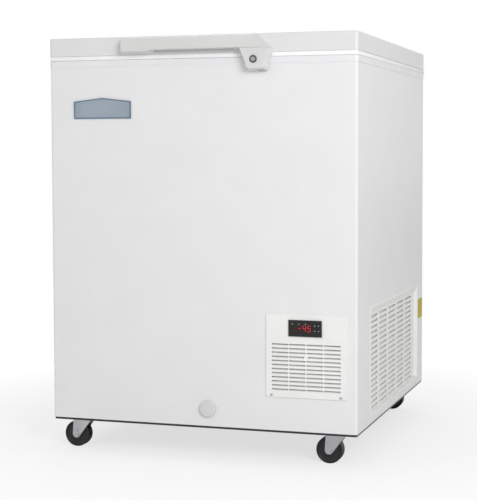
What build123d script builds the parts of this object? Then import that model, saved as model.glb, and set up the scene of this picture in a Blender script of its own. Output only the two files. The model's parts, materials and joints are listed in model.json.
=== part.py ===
from build123d import *
import os

# Low temperature chest freezer on casters, in millimetres.
# X is to the right, -Y is the front and +Z is up. The origin is on the floor,
# below the middle of the whole object.

os.makedirs("parts", exist_ok=True)

# Cabinet
cabinet_width = 720.0
cabinet_depth = 740.0
floor_to_wrap = 75.0
wrap_height = 800.5
front_corner_radius = 6.0
rear_corner_radius = 18.0
skin = 1.0
seat_gap = 0.3
rear_return = 32.0
rear_lap = 10.0

# Collar and lid
trim_overhang = 1.0
collar_height = 14.5
collar_wall = 3.0
collar_edge_radius = 1.5
collar_lip_depth = 14.0
collar_lip_wall = 2.0
gasket_gap = 10.0
gasket_inset = 8.0
gasket_width = 22.0
gasket_waist = 9.0
gasket_bulb_height = 5.0
gasket_flange_height = 2.0
gasket_corner_radius = 14.0
lid_height = 41.0
lid_skin = 1.2
lid_edge_radius = 3.5
lid_liner_wall = 2.0
plug_depth = 34.0
plug_clearance = 9.0
plug_draft = 8.0
plug_edge_radius = 6.0

# Tub, insulation and machine compartment
side_insulation = 94.0
floor_insulation = 95.0
tub_wall = 1.2
tub_corner_radius = 30.0
tub_floor_radius = 14.0
tub_flange = 16.0
compartment_width = 222.0
compartment_height = 272.0
compartment_sheet = 1.2
hump_insulation = 80.0

# Base
base_drop = 5.0
base_recess = 3.0
base_sheet = 2.0

# Casters
wheel_radius = 30.0
wheel_width = 22.0
wheel_edge = 2.5
wheel_side_gap = 1.0
caster_inset_x = 56.0
caster_inset_y = 49.0
caster_trail = 16.5
fork_sheet = 2.5
fork_top_width = 46.0
fork_toe_radius = 9.5
fork_shoulder = 4.0
caster_plate_size = 60.0
caster_plate_sheet = 3.0
race_radius = 19.0
race_height = 4.0
king_pin_radius = 5.0
king_pin_gap = 0.3
rivet_radius = 8.0
rivet_height = 2.5
axle_radius = 4.0
axle_gap = 0.1
axle_head_radius = 6.5
axle_head_height = 2.5
caster_bolt_spacing = 44.0
bolt_head_radius = 6.5
bolt_head_height = 4.0

# Handle, measured outward from the lid and down from the lid's top
handle_projection = 22.0
handle_left_x = -182.0
handle_right_top_x = 137.0
handle_nose_x = 173.0
handle_nose_drop = 36.0
handle_top_drop = 2.0
boss_right_x = -116.0
boss_drop = 41.0
grip_left_x = -106.0
grip_drop = 37.0
handle_side_bevel = 6.0
handle_nose_bevel = 11.0
handle_lower_bevel = 6.0
handle_top_bevel = 3.0
handle_corner_radius = 11.0
handle_nose_radius = 9.0
tab_corner_radius = 9.0
handle_small_radius = 4.0
finger_left_x = -102.0
finger_right_x = 88.0
finger_depth = 14.0
finger_roof_drop = 9.0
finger_corner_radius = 4.0

# Lock tab below the right end of the handle
tab_left_x = 111.0
tab_neck_x = 108.0
tab_shoulder_x = 96.0
tab_shoulder_drop = 61.0
tab_right_x = 165.0
tab_drop = 83.0
tab_wall = 3.5
tab_clearance = 0.6
tab_split_drop = 32.0
tab_split_gap = 0.4
tab_cavity_left_x = 120.0
tab_cavity_right_x = 156.0
tab_cavity_top_drop = 44.0
tab_cavity_floor_drop = 74.0

# Lock
lock_x = 134.0
lock_drop = 57.0
lock_face_radius = 8.5
lock_face_height = 2.0
lock_face_chamfer = 0.8
lock_barrel_radius = 6.4
lock_barrel_length = 11.0
lock_bore_gap = 0.1
lock_plug_radius = 4.6
lock_plug_recess = 0.5
keyway_width = 1.4
keyway_height = 6.0
keyway_depth = 4.0
cam_sheet = 2.0
cam_reach = 15.0
cam_width = 8.0
cam_gap = 0.2
strike_left_x = 143.5
strike_width = 11.0
strike_sheet = 1.5
strike_height = 13.0
strike_reach = 10.5
strike_gap = 0.4
strike_notch_gap = 1.5

# Hinges
hinge_x = 220.0
hinge_axis_offset = 11.0
hinge_axis_rise = 5.0
hinge_eye_radius = 9.0
hinge_sheet = 2.5
hinge_width = 52.0
hinge_ear_gap = 0.5
hinge_plate_height = 90.0
hinge_plate_drop = 24.0
hinge_toe = 9.0
hinge_knee_drop = 45.0
hinge_arm_rise = 12.0
hinge_arm_height = 26.0
hinge_pin_radius = 4.0
hinge_pin_gap = 0.1
hinge_pin_head = 6.5
hinge_pin_head_height = 2.0

# Front panel with its grille, measured from the cabinet's left edge and wrap's lower edge
panel_left = 514.5
panel_bottom = 73.5
panel_size = 183.0
panel_sheet = 2.5
panel_flange = 10.0
panel_edge_chamfer = 0.8
panel_rim_wall = 1.5
panel_rim_depth = 5.0
slot_rows = 12
slot_columns = 4
slot_pitch_z = 9.0
slot_pitch_x = 39.4
slot_width = 36.9
slot_height = 3.6
slot_first_row = 91.3
panel_boss_radius = 4.5
panel_boss_row = 8
panel_screw_spacing = 157.0
panel_screw_height = 79.0
screw_head_radius = 2.7
screw_head_height = 1.6
screw_shank_radius = 1.5
screw_length = 8.0

# Temperature controller
controller_left = 567.0
controller_bottom = 209.0
controller_width = 75.0
controller_height = 36.0
controller_bezel = 3.5
controller_body_margin = 2.2
controller_body_depth = 50.0
controller_edge_radius = 1.2
window_left = 4.0
window_width = 47.0
window_height = 24.0
window_recess = 0.6
window_thickness = 1.6
window_gap = 0.2
key_width = 6.0
key_height = 5.0
key_left = 60.0
key_spacing_x = 8.5
key_spacing_z = 11.5
key_centre_height = 19.0
key_gap = 0.2
key_stand = 0.8
key_travel = 0.6
key_length = 4.0
key_edge_chamfer = 0.4

# Badge plate on the upper left of the front
badge_left = 60.0
badge_width = 138.5
badge_bottom = 684.5
badge_height = 38.0
badge_rise = 8.5
badge_thickness = 3.0
badge_edge_chamfer = 0.6

# Drain
drain_x = 379.0
drain_height = 39.0
drain_bore_radius = 9.0
drain_pipe_wall = 2.5
drain_inlet_depth = 165.0
drain_flange_radius = 15.5
drain_flange_height = 2.0
drain_cap_radius = 18.5
drain_cap_height = 7.0
drain_cap_edge = 1.6
drain_cap_wall = 1.8
drain_plug_length = 22.0
drain_plug_gap = 0.1

# Side grille in the right wall, measured from the front face and the wrap's lower edge
side_grille_front = 118.0
side_grille_length = 542.0
side_grille_bottom = 15.0
side_grille_height = 250.0
side_grille_proud = 0.8
side_grille_rim = 4.0
side_grille_depth = 9.0
side_grille_corner = 12.0
side_recess_inset = 6.0
side_face_front = 126.0
side_face_length = 527.0
side_face_bottom = 23.0
side_face_height = 220.0
side_slot_rows = 18
side_slot_columns = 5
side_slot_pitch_y = 96.0
side_slot_pitch_z = 12.2
side_slot_length = 80.0
side_slot_height = 5.0
side_slot_front = 192.0
side_slot_bottom = 28.0
side_floor_wall = 2.0
louvre_sheet = 1.6
louvre_reach = 9.0
louvre_rise = 6.5
louvre_root = 0.5

# Rear cover of the machine compartment
rear_cover_width = 156.0
rear_cover_height = 250.0
rear_cover_lap = 8.0
rear_cover_bottom = 12.0
rear_slot_rows = 12
rear_slot_columns = 2
rear_slot_pitch_z = 14.0
rear_slot_pitch_x = 68.0
rear_slot_width = 58.0
rear_slot_height = 5.0
rear_slot_drop = 16.0
gland_drop = 34.0
gland_radius = 11.0
gland_height = 9.0
gland_chamfer = 3.0
gland_thread_length = 6.0
gland_bore_radius = 3.6
gland_thread_radius = 8.0

# Machinery
condenser_width = 154.0
condenser_side = 26.0
condenser_height = 176.0
condenser_depth = 44.0
condenser_setback = 64.0
condenser_lift = 4.0
condenser_fins = 21
condenser_fin = 1.0
condenser_core = 10.0
condenser_end = 2.0
condenser_tube_radius = 4.0
condenser_bend_radius = 14.0
condenser_bend_pitch = 56.0
condenser_bends = 3
shroud_sheet = 1.5
shroud_ring_radius = 74.0
shroud_ring_wall = 2.0
shroud_ring_depth = 32.0
fan_tip_gap = 5.0
fan_hub_radius = 17.0
fan_hub_length = 20.0
fan_blades = 5
fan_blade_root = 20.0
fan_blade_tip = 44.0
fan_blade_thickness = 1.8
fan_blade_angle = 30.0
fan_shaft_radius = 3.0
fan_shaft_gap = 0.1
motor_radius = 29.0
motor_length = 42.0
motor_edge_chamfer = 4.0
motor_ring_radius = 24.0
motor_arm_width = 6.0
motor_arm_depth = 4.0
motor_arms = 4
motor_gap = 4.0
compressor_setback = 470.0
compressor_radius = 70.0
compressor_height = 168.0
compressor_dome = 26.0
compressor_seam_radius = 73.5
compressor_seam_height = 6.0
compressor_foot_length = 160.0
compressor_foot_width = 120.0
compressor_foot_sheet = 3.0
compressor_foot_corner = 18.0
stub_radius = 4.5
stub_rise = 8.0
stub_offset_x = 30.0
stub_offset_y = 22.0
mount_height = 16.0
mount_radius = 11.0
mount_inset = 16.0
terminal_width = 46.0
terminal_height = 52.0
terminal_reach = 26.0
terminal_lift = 52.0
terminal_gap = 0.5
terminal_edge_radius = 4.0
drier_radius = 10.0
drier_length = 84.0
drier_neck_radius = 4.0
drier_neck_length = 14.0
drier_setback = 300.0
drier_clip_width = 12.0
drier_standoff = 16.0
drier_lift = 40.0
drier_shoulder = 3.0
pipe_radius = 3.2
pipe_facets = 8
pipe_bend_radius = 7.0
pipe_rise = 26.0
port_inset = 14.0
suction_run = 50.0

# Heights and depths that follow from the sizes above
half_width = cabinet_width / 2
front_reach = trim_overhang + handle_projection + lock_face_height
rear_reach = hinge_axis_offset + hinge_eye_radius
front_y = front_reach - (cabinet_depth + front_reach + rear_reach) / 2
back_y = front_y + cabinet_depth
centre_y = (front_y + back_y) / 2
lid_front_y = front_y - trim_overhang
lid_back_y = back_y + trim_overhang
wrap_bottom_z = floor_to_wrap
wrap_top_z = wrap_bottom_z + wrap_height
collar_top_z = wrap_top_z + collar_height
collar_plate_z = collar_top_z - collar_wall
lid_bottom_z = collar_top_z + gasket_gap
lid_top_z = lid_bottom_z + lid_height
base_bottom_z = wrap_bottom_z - base_drop
pan_under_z = wrap_bottom_z + base_recess
pan_top_z = pan_under_z + base_sheet
foam_bottom_z = pan_top_z + seat_gap
inner_back_y = back_y - 2 * skin
tub_width = cabinet_width - 2 * side_insulation
tub_depth = cabinet_depth - 2 * side_insulation
tub_floor_z = pan_top_z + floor_insulation
mouth_width = tub_width - 2 * (seat_gap + collar_lip_wall)
mouth_depth = tub_depth - 2 * (seat_gap + collar_lip_wall)
compartment_right_x = half_width - skin - seat_gap
compartment_left_x = compartment_right_x - compartment_width
compartment_x = (compartment_left_x + compartment_right_x) / 2
compartment_top_z = pan_top_z + compartment_height
hump_left_x = compartment_left_x - hump_insulation
hump_top_z = compartment_top_z + hump_insulation
inside_front_y = front_y + skin + seat_gap
inside_back_y = inner_back_y - seat_gap
inside_length = inside_back_y - inside_front_y


def level(z):
    """Level plane at height z, centred on the cabinet."""
    return Plane(origin=(0, centre_y, z))


def front_plane(y):
    """Upright plane that faces the front at depth y: its x is X and its y is Z."""
    return Plane(origin=(0, y, 0), x_dir=(1, 0, 0), z_dir=(0, -1, 0))


def side_plane(x):
    """Upright plane that faces right at width x: its x is Y and its y is Z."""
    return Plane(origin=(x, 0, 0), x_dir=(0, 1, 0), z_dir=(1, 0, 0))


def plan_outline(inset):
    """Cabinet outline from above, inset from the outer face of the wrap."""
    with BuildSketch() as outline:
        Rectangle(cabinet_width - 2 * inset, cabinet_depth - 2 * inset)
        rows = outline.vertices().group_by(Axis.Y)
        fillet(rows[0], front_corner_radius - inset)
        rows = outline.vertices().group_by(Axis.Y)
        fillet(rows[-1], rear_corner_radius - inset)
    return outline.sketch


def inner_outline(inset):
    """The same outline, cut back at the rear for the flat back sheet."""
    with BuildSketch() as outline:
        add(plan_outline(inset))
        with Locations((0, cabinet_depth / 2)):
            Rectangle(cabinet_width, 2 * (skin + inset), mode=Mode.SUBTRACT)
    return outline.sketch


# Painted steel wrap: front, sides and the two returns on the back
panel_x = panel_left + panel_size / 2 - half_width
panel_z = wrap_bottom_z + panel_bottom + panel_size / 2
panel_opening = panel_size - 2 * panel_flange
panel_screw_z = wrap_bottom_z + panel_screw_height
side_grille_y = front_y + side_grille_front + side_grille_length / 2
side_grille_z = wrap_bottom_z + side_grille_bottom + side_grille_height / 2
side_opening_length = side_grille_length - 2 * side_grille_rim
side_opening_height = side_grille_height - 2 * side_grille_rim
side_opening_radius = side_grille_corner - side_grille_rim
drain_centre_x = drain_x - half_width
drain_z = wrap_bottom_z + drain_height
drain_pipe_radius = drain_bore_radius + drain_pipe_wall

with BuildPart() as outer_shell:
    with BuildSketch(level(wrap_bottom_z)):
        add(plan_outline(0))
        add(plan_outline(skin), mode=Mode.SUBTRACT)
    extrude(amount=wrap_height)
    with BuildSketch(front_plane(back_y)):
        with Locations((0, wrap_bottom_z + wrap_height / 2)):
            Rectangle(cabinet_width - 2 * rear_return, wrap_height)
    extrude(amount=skin, both=True, mode=Mode.SUBTRACT)
    with BuildSketch(front_plane(front_y)):
        with Locations((panel_x, panel_z)):
            Rectangle(panel_opening, panel_opening)
        with Locations((drain_centre_x, drain_z)):
            Circle(drain_pipe_radius + seat_gap)
        with Locations((panel_x, panel_screw_z)):
            with GridLocations(panel_screw_spacing, panel_size, 2, 1):
                Circle(screw_shank_radius + seat_gap)
    extrude(amount=skin, both=True, mode=Mode.SUBTRACT)
    with BuildSketch(side_plane(half_width)):
        with Locations((side_grille_y, side_grille_z)):
            RectangleRounded(side_opening_length, side_opening_height, side_opening_radius)
    extrude(amount=skin, both=True, mode=Mode.SUBTRACT)
outer_shell.part.label = "outer_shell"
export_step(outer_shell.part, "parts/outer_shell.step")

# Flat back sheet, lapped inside the two returns of the wrap
rear_cover_x = compartment_x
rear_cover_z = pan_top_z + rear_cover_bottom + rear_cover_height / 2
back_panel_width = cabinet_width - 2 * (rear_return - rear_lap)

with BuildPart() as back_panel:
    with BuildSketch(front_plane(back_y - skin)):
        with Locations((0, wrap_bottom_z + wrap_height / 2)):
            Rectangle(back_panel_width, wrap_height)
        with Locations((rear_cover_x, rear_cover_z)):
            Rectangle(
                rear_cover_width - 2 * rear_cover_lap,
                rear_cover_height - 2 * rear_cover_lap,
                mode=Mode.SUBTRACT,
            )
    extrude(amount=skin)
back_panel.part.label = "back_panel"
export_step(back_panel.part, "parts/back_panel.step")

# Cover over the rear of the machine compartment, with air slots and the cable gland's hole
gland_z = rear_cover_z + rear_cover_height / 2 - gland_drop

with BuildPart() as rear_cover:
    with BuildSketch(front_plane(back_y - skin)):
        with Locations((rear_cover_x, rear_cover_z)):
            Rectangle(rear_cover_width, rear_cover_height)
        with Locations((rear_cover_x, gland_z)):
            Circle(gland_thread_radius + seat_gap, mode=Mode.SUBTRACT)
        with Locations((rear_cover_x, rear_cover_z - rear_slot_drop)):
            with GridLocations(rear_slot_pitch_x, rear_slot_pitch_z, rear_slot_columns, rear_slot_rows):
                Rectangle(rear_slot_width, rear_slot_height, mode=Mode.SUBTRACT)
    extrude(amount=-skin)
rear_cover.part.label = "rear_cover"
export_step(rear_cover.part, "parts/rear_cover.step")

# Gland for the mains lead, through the rear cover
with BuildPart() as cord_gland:
    with BuildSketch(front_plane(back_y)):
        with Locations((rear_cover_x, gland_z)):
            Circle(gland_radius)
    extrude(amount=-gland_height)
    chamfer(cord_gland.faces().sort_by(Axis.Y)[-1].edges(), gland_chamfer)
    with BuildSketch(front_plane(back_y)):
        with Locations((rear_cover_x, gland_z)):
            Circle(gland_thread_radius)
    extrude(amount=gland_thread_length)
    with BuildSketch(front_plane(back_y)):
        with Locations((rear_cover_x, gland_z)):
            Circle(gland_bore_radius)
    extrude(amount=gland_height, both=True, mode=Mode.SUBTRACT)
cord_gland.part.label = "cord_gland"
export_step(cord_gland.part, "parts/cord_gland.step")


def tub_block(grow):
    """Inside of the tub as a solid, grown by a wall or a clearance, with the step cut away."""
    floor_z = tub_floor_z - grow
    height = collar_plate_z - floor_z
    with BuildPart() as block:
        with BuildSketch(level(floor_z)):
            RectangleRounded(tub_width + 2 * grow, tub_depth + 2 * grow, tub_corner_radius + grow)
        extrude(amount=height)
        fillet(block.faces().sort_by(Axis.Z)[0].edges(), tub_floor_radius + grow)
        step_left_x = hump_left_x + grow
        step_top_z = hump_top_z - grow
        with BuildSketch(front_plane(front_y)):
            with Locations((step_left_x, floor_z)):
                Rectangle(half_width - step_left_x, step_top_z - floor_z, align=(Align.MIN, Align.MIN))
        extrude(amount=-cabinet_depth, mode=Mode.SUBTRACT)
    return block.part


def drain_path():
    """Centre line of the drain: back from the front face, then up to the tub's floor."""
    with BuildLine() as path:
        Polyline(
            (drain_centre_x, front_y, drain_z),
            (drain_centre_x, front_y + drain_inlet_depth, drain_z),
            (drain_centre_x, front_y + drain_inlet_depth, tub_floor_z - tub_wall),
        )
    return path.line


# Metal tub liner, with a step over the machine compartment and a rim flange under the collar
with BuildPart() as inner_liner:
    add(tub_block(tub_wall))
    with BuildSketch(level(collar_plate_z)):
        RectangleRounded(
            tub_width + 2 * tub_flange,
            tub_depth + 2 * tub_flange,
            tub_corner_radius + tub_flange,
        )
    extrude(amount=-tub_wall)
    add(tub_block(0), mode=Mode.SUBTRACT)
    with BuildSketch(Plane.XY.offset(tub_floor_z)):
        with Locations((drain_centre_x, front_y + drain_inlet_depth)):
            Circle(drain_bore_radius)
    extrude(amount=tub_wall, both=True, mode=Mode.SUBTRACT)
inner_liner.part.label = "inner_liner"
export_step(inner_liner.part, "parts/inner_liner.step")

# Drain pipe: an outlet flange on the front, a straight run, an elbow and a rise to the tub
with BuildPart() as drain_pipe:
    with BuildSketch(front_plane(front_y)):
        with Locations((drain_centre_x, drain_z)):
            Circle(drain_pipe_radius)
    sweep(path=drain_path(), transition=Transition.RIGHT)
    with BuildSketch(front_plane(front_y)):
        with Locations((drain_centre_x, drain_z)):
            Circle(drain_flange_radius)
    extrude(amount=drain_flange_height)
    with BuildSketch(front_plane(front_y)):
        with Locations((drain_centre_x, drain_z)):
            Circle(drain_bore_radius)
    sweep(path=drain_path(), transition=Transition.RIGHT, mode=Mode.SUBTRACT)
    with BuildSketch(front_plane(front_y)):
        with Locations((drain_centre_x, drain_z)):
            Circle(drain_bore_radius)
    extrude(amount=drain_flange_height, mode=Mode.SUBTRACT)
drain_pipe.part.label = "drain_pipe"
export_step(drain_pipe.part, "parts/drain_pipe.step")

# Foam that fills the walls, from the base pan to the underside of the collar
with BuildPart() as insulation_foam:
    with BuildSketch(level(foam_bottom_z)):
        add(inner_outline(skin + seat_gap))
    extrude(amount=wrap_top_z - foam_bottom_z)
    with BuildSketch(level(wrap_top_z)):
        add(plan_outline(collar_wall + seat_gap - trim_overhang))
    extrude(amount=collar_plate_z - tub_wall - seat_gap - wrap_top_z)
    add(tub_block(tub_wall + seat_gap), mode=Mode.SUBTRACT)
    with BuildSketch(front_plane(front_y)):
        with Locations((compartment_left_x - compartment_sheet - seat_gap, wrap_bottom_z)):
            Rectangle(
                half_width,
                compartment_top_z + compartment_sheet + seat_gap - wrap_bottom_z,
                align=(Align.MIN, Align.MIN),
            )
    extrude(amount=-cabinet_depth, mode=Mode.SUBTRACT)
    with BuildSketch(front_plane(front_y)):
        with Locations((drain_centre_x, drain_z)):
            Circle(drain_pipe_radius + seat_gap)
    sweep(path=drain_path(), transition=Transition.RIGHT, mode=Mode.SUBTRACT)
insulation_foam.part.label = "insulation_foam"
export_step(insulation_foam.part, "parts/insulation_foam.step")

# Bent sheet that parts the machine compartment from the foam: left wall and ceiling
with BuildPart() as compartment_liner:
    with BuildSketch(front_plane(inside_front_y)):
        with BuildLine():
            Polyline(
                (compartment_left_x - compartment_sheet, pan_top_z),
                (compartment_left_x - compartment_sheet, compartment_top_z + compartment_sheet),
                (compartment_right_x, compartment_top_z + compartment_sheet),
                (compartment_right_x, compartment_top_z),
                (compartment_left_x, compartment_top_z),
                (compartment_left_x, pan_top_z),
                close=True,
            )
        make_face()
    extrude(amount=-inside_length)
    with BuildSketch(level(pan_top_z)):
        add(inner_outline(skin + seat_gap))
    extrude(amount=compartment_height + compartment_sheet, mode=Mode.INTERSECT)
compartment_liner.part.label = "compartment_liner"
export_step(compartment_liner.part, "parts/compartment_liner.step")

# Plastic collar round the mouth: outer skirt on the wrap, top plate and inner lip
with BuildPart() as top_frame:
    with BuildSketch(level(wrap_top_z)):
        add(plan_outline(-trim_overhang))
    extrude(amount=collar_height)
    fillet(top_frame.faces().sort_by(Axis.Z)[-1].edges(), collar_edge_radius)
    with BuildSketch(level(wrap_top_z)):
        add(plan_outline(collar_wall - trim_overhang))
    extrude(amount=collar_height - collar_wall, mode=Mode.SUBTRACT)
    with BuildSketch(level(collar_plate_z)):
        RectangleRounded(
            mouth_width + 2 * collar_lip_wall,
            mouth_depth + 2 * collar_lip_wall,
            tub_corner_radius - seat_gap,
        )
    extrude(amount=-collar_lip_depth)
    with BuildSketch(level(collar_plate_z - collar_lip_depth)):
        RectangleRounded(mouth_width, mouth_depth, tub_corner_radius - seat_gap - collar_lip_wall)
    extrude(amount=collar_lip_depth + collar_wall, mode=Mode.SUBTRACT)
top_frame.part.label = "top_frame"
export_step(top_frame.part, "parts/top_frame.step")

# Dark base: a pan whose lip shows below the wrap
with BuildPart() as base_frame:
    with BuildSketch(level(base_bottom_z)):
        add(inner_outline(skin + seat_gap))
    extrude(amount=pan_top_z - base_bottom_z)
    with BuildSketch(level(base_bottom_z)):
        add(inner_outline(skin + seat_gap + base_sheet))
    extrude(amount=pan_under_z - base_bottom_z, mode=Mode.SUBTRACT)
base_frame.part.label = "base_frame"
export_step(base_frame.part, "parts/base_frame.step")


def lid_block(inset, bottom_z, ease=fillet):
    """Lid as a solid, inset by a wall or a clearance, from the given height up."""
    with BuildPart() as block:
        with BuildSketch(level(bottom_z)):
            add(plan_outline(inset - trim_overhang))
        extrude(amount=lid_top_z - inset - bottom_z)
        ease(block.faces().sort_by(Axis.Z)[-1].edges(), lid_edge_radius - inset)
    return block.part


# Stiff painted lid tray with a skirt
with BuildPart() as lid_shell:
    add(lid_block(0, lid_bottom_z))
    add(lid_block(lid_skin, lid_bottom_z), mode=Mode.SUBTRACT)
lid_shell.part.label = "lid_shell"
export_step(lid_shell.part, "parts/lid_shell.step")

plug_width = mouth_width - 2 * plug_clearance
plug_length = mouth_depth - 2 * plug_clearance
plug_corner_radius = tub_corner_radius - seat_gap - collar_lip_wall - plug_clearance


def plug_outline(inset):
    """Plug outline at the lid's underside, inset by a wall."""
    with BuildSketch() as outline:
        RectangleRounded(plug_width - 2 * inset, plug_length - 2 * inset, plug_corner_radius - inset)
    return outline.sketch


def plug_block(inset, ease=fillet):
    """Tapered plug below the lid, inset by a wall."""
    with BuildPart() as block:
        with BuildSketch(level(lid_bottom_z)):
            add(plug_outline(inset))
        extrude(amount=-(plug_depth - inset), taper=plug_draft)
        ease(block.faces().sort_by(Axis.Z)[0].edges(), plug_edge_radius)
    return block.part


# Moulded underside of the lid, with the plug that enters the mouth
with BuildPart() as lid_liner:
    with BuildSketch(level(lid_bottom_z)):
        add(plan_outline(lid_skin + seat_gap - trim_overhang))
        add(plug_outline(lid_liner_wall), mode=Mode.SUBTRACT)
    extrude(amount=lid_liner_wall)
    add(plug_block(0))
    add(plug_block(lid_liner_wall), mode=Mode.SUBTRACT)
lid_liner.part.label = "lid_liner"
export_step(lid_liner.part, "parts/lid_liner.step")

# Foam inside the lid and its plug, with plain bevels where the skins are rounded
lid_foam_z = lid_bottom_z + lid_liner_wall + seat_gap

with BuildPart() as lid_foam:
    add(lid_block(lid_skin + seat_gap, lid_foam_z, ease=chamfer))
    with BuildSketch(level(lid_foam_z)):
        add(plug_outline(lid_liner_wall + seat_gap))
    extrude(amount=lid_bottom_z - lid_foam_z)
    add(plug_block(lid_liner_wall + seat_gap, ease=chamfer))
lid_foam.part.label = "lid_foam"
export_step(lid_foam.part, "parts/lid_foam.step")

# Soft gasket under the lid: bulb, waist and fixing flange
gasket_outer_width = cabinet_width + 2 * (trim_overhang - gasket_inset)
gasket_outer_depth = cabinet_depth + 2 * (trim_overhang - gasket_inset)
gasket_bottom_z = collar_top_z + seat_gap
gasket_flange_z = lid_bottom_z - gasket_flange_height
gasket_waist_z = gasket_bottom_z + gasket_bulb_height
waist_inset = (gasket_width - gasket_waist) / 2


def gasket_ring(inset, width):
    """Ring seen from above, inset from the gasket's outer edge."""
    outer_width = gasket_outer_width - 2 * inset
    outer_depth = gasket_outer_depth - 2 * inset
    with BuildSketch() as ring:
        RectangleRounded(outer_width, outer_depth, gasket_corner_radius)
        Rectangle(outer_width - 2 * width, outer_depth - 2 * width, mode=Mode.SUBTRACT)
    return ring.sketch


with BuildPart() as lid_gasket:
    with BuildSketch(level(gasket_bottom_z)):
        add(gasket_ring(0, gasket_width))
    extrude(amount=gasket_bulb_height)
    with BuildSketch(level(gasket_waist_z)):
        add(gasket_ring(waist_inset, gasket_waist))
    extrude(amount=gasket_flange_z - gasket_waist_z)
    with BuildSketch(level(gasket_flange_z)):
        add(gasket_ring(0, gasket_width))
    extrude(amount=gasket_flange_height)
lid_gasket.part.label = "lid_gasket"
export_step(lid_gasket.part, "parts/lid_gasket.step")


def handle_outline(lift):
    """Handle and lock tab from the front: lift is 0 at the lid and 1 at the front face."""
    side = lift * handle_side_bevel
    nose = lift * handle_nose_bevel
    lower = lift * handle_lower_bevel
    top_z = lid_top_z - handle_top_drop - lift * handle_top_bevel
    boss_z = lid_top_z - boss_drop + lower
    grip_z = lid_top_z - grip_drop + lower
    tab_z = lid_top_z - tab_drop + lower
    neck_z = lid_top_z - tab_shoulder_drop
    nose_z = lid_top_z - handle_nose_drop
    with BuildSketch() as outline:
        with BuildLine():
            FilletPolyline(
                (handle_left_x + side, top_z),
                (handle_left_x + side, boss_z),
                (boss_right_x, boss_z),
                (grip_left_x, grip_z),
                (tab_shoulder_x + side, grip_z),
                (tab_neck_x + side, neck_z),
                (tab_left_x + side, tab_z),
                (tab_right_x - side, tab_z),
                (tab_right_x - side, neck_z),
                (handle_nose_x - nose, nose_z),
                (handle_right_top_x - nose, top_z),
                radius=[
                    handle_corner_radius,
                    handle_small_radius,
                    handle_small_radius,
                    handle_small_radius,
                    handle_small_radius,
                    handle_small_radius,
                    tab_corner_radius,
                    tab_corner_radius,
                    handle_small_radius,
                    handle_nose_radius,
                    handle_small_radius,
                ],
                close=True,
            )
        make_face()
    return outline.sketch


def handle_blank():
    """Handle and lock tab in one, before they are parted and hollowed."""
    with BuildPart() as blank:
        with BuildSketch(front_plane(lid_front_y)):
            add(handle_outline(0))
        with BuildSketch(front_plane(lid_front_y - handle_projection)):
            add(handle_outline(1))
        loft(ruled=True)
    return blank.part


# Handle moulding with its finger gap
split_z = lid_top_z - tab_split_drop
finger_span = finger_right_x - finger_left_x
finger_x = (finger_left_x + finger_right_x) / 2

with BuildPart() as handle:
    add(handle_blank())
    with BuildSketch(front_plane(lid_front_y)):
        with Locations((tab_shoulder_x, split_z)):
            Rectangle(half_width, tab_drop, align=(Align.MIN, Align.MAX))
    extrude(amount=handle_projection, mode=Mode.SUBTRACT)
    with BuildSketch(Plane.XY.offset(lid_top_z - finger_roof_drop)):
        with Locations((finger_x, lid_front_y + (finger_corner_radius - finger_depth) / 2)):
            RectangleRounded(finger_span, finger_depth + finger_corner_radius, finger_corner_radius)
    extrude(amount=-boss_drop, mode=Mode.SUBTRACT)
handle.part.label = "handle"
export_step(handle.part, "parts/handle.step")

# Lock cover below the handle: open at the back, with a notch for the strike
tab_front_y = lid_front_y - handle_projection
lock_z = lid_top_z - lock_drop
cavity_width = tab_cavity_right_x - tab_cavity_left_x
cavity_height = tab_cavity_floor_drop - tab_cavity_top_drop
strike_x = strike_left_x + strike_width / 2

with BuildPart() as lock_cover:
    add(handle_blank())
    with BuildSketch(front_plane(lid_front_y)):
        with Locations((tab_shoulder_x + tab_split_gap, split_z - tab_split_gap)):
            Rectangle(half_width, tab_drop, align=(Align.MIN, Align.MAX))
    extrude(amount=handle_projection, mode=Mode.INTERSECT)
    with BuildSketch(front_plane(lid_front_y)):
        with Locations((tab_shoulder_x, lid_bottom_z)):
            Rectangle(half_width, tab_drop, align=(Align.MIN, Align.MAX))
    extrude(amount=tab_clearance, mode=Mode.SUBTRACT)
    with BuildSketch(front_plane(lid_front_y)):
        with Locations((tab_cavity_left_x, lid_top_z - tab_cavity_top_drop)):
            Rectangle(cavity_width, cavity_height, align=(Align.MIN, Align.MAX))
    extrude(amount=handle_projection - tab_wall, mode=Mode.SUBTRACT)
    with BuildSketch(front_plane(lid_front_y)):
        with Locations((strike_x, lid_top_z - tab_cavity_top_drop)):
            Rectangle(strike_width + 2 * strike_notch_gap, tab_drop, align=(Align.CENTER, Align.MAX))
    extrude(amount=strike_reach + strike_notch_gap, mode=Mode.SUBTRACT)
    with BuildSketch(front_plane(tab_front_y)):
        with Locations((lock_x, lock_z)):
            Circle(lock_barrel_radius + lock_bore_gap)
    extrude(amount=-handle_projection, mode=Mode.SUBTRACT)
lock_cover.part.label = "lock_cover"
export_step(lock_cover.part, "parts/lock_cover.step")

# Fixed lock barrel with its face ring
lock_bore_radius = lock_plug_radius + lock_bore_gap

with BuildPart() as lock_barrel:
    with BuildSketch(front_plane(tab_front_y)):
        with Locations((lock_x, lock_z)):
            Circle(lock_face_radius)
    extrude(amount=lock_face_height)
    chamfer(lock_barrel.faces().sort_by(Axis.Y)[0].edges(), lock_face_chamfer)
    with BuildSketch(front_plane(tab_front_y)):
        with Locations((lock_x, lock_z)):
            Circle(lock_barrel_radius)
    extrude(amount=-lock_barrel_length)
    with BuildSketch(front_plane(tab_front_y)):
        with Locations((lock_x, lock_z)):
            Circle(lock_bore_radius)
    extrude(amount=lock_barrel_length, both=True, mode=Mode.SUBTRACT)
lock_barrel.part.label = "lock_barrel"
export_step(lock_barrel.part, "parts/lock_barrel.step")

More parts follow.
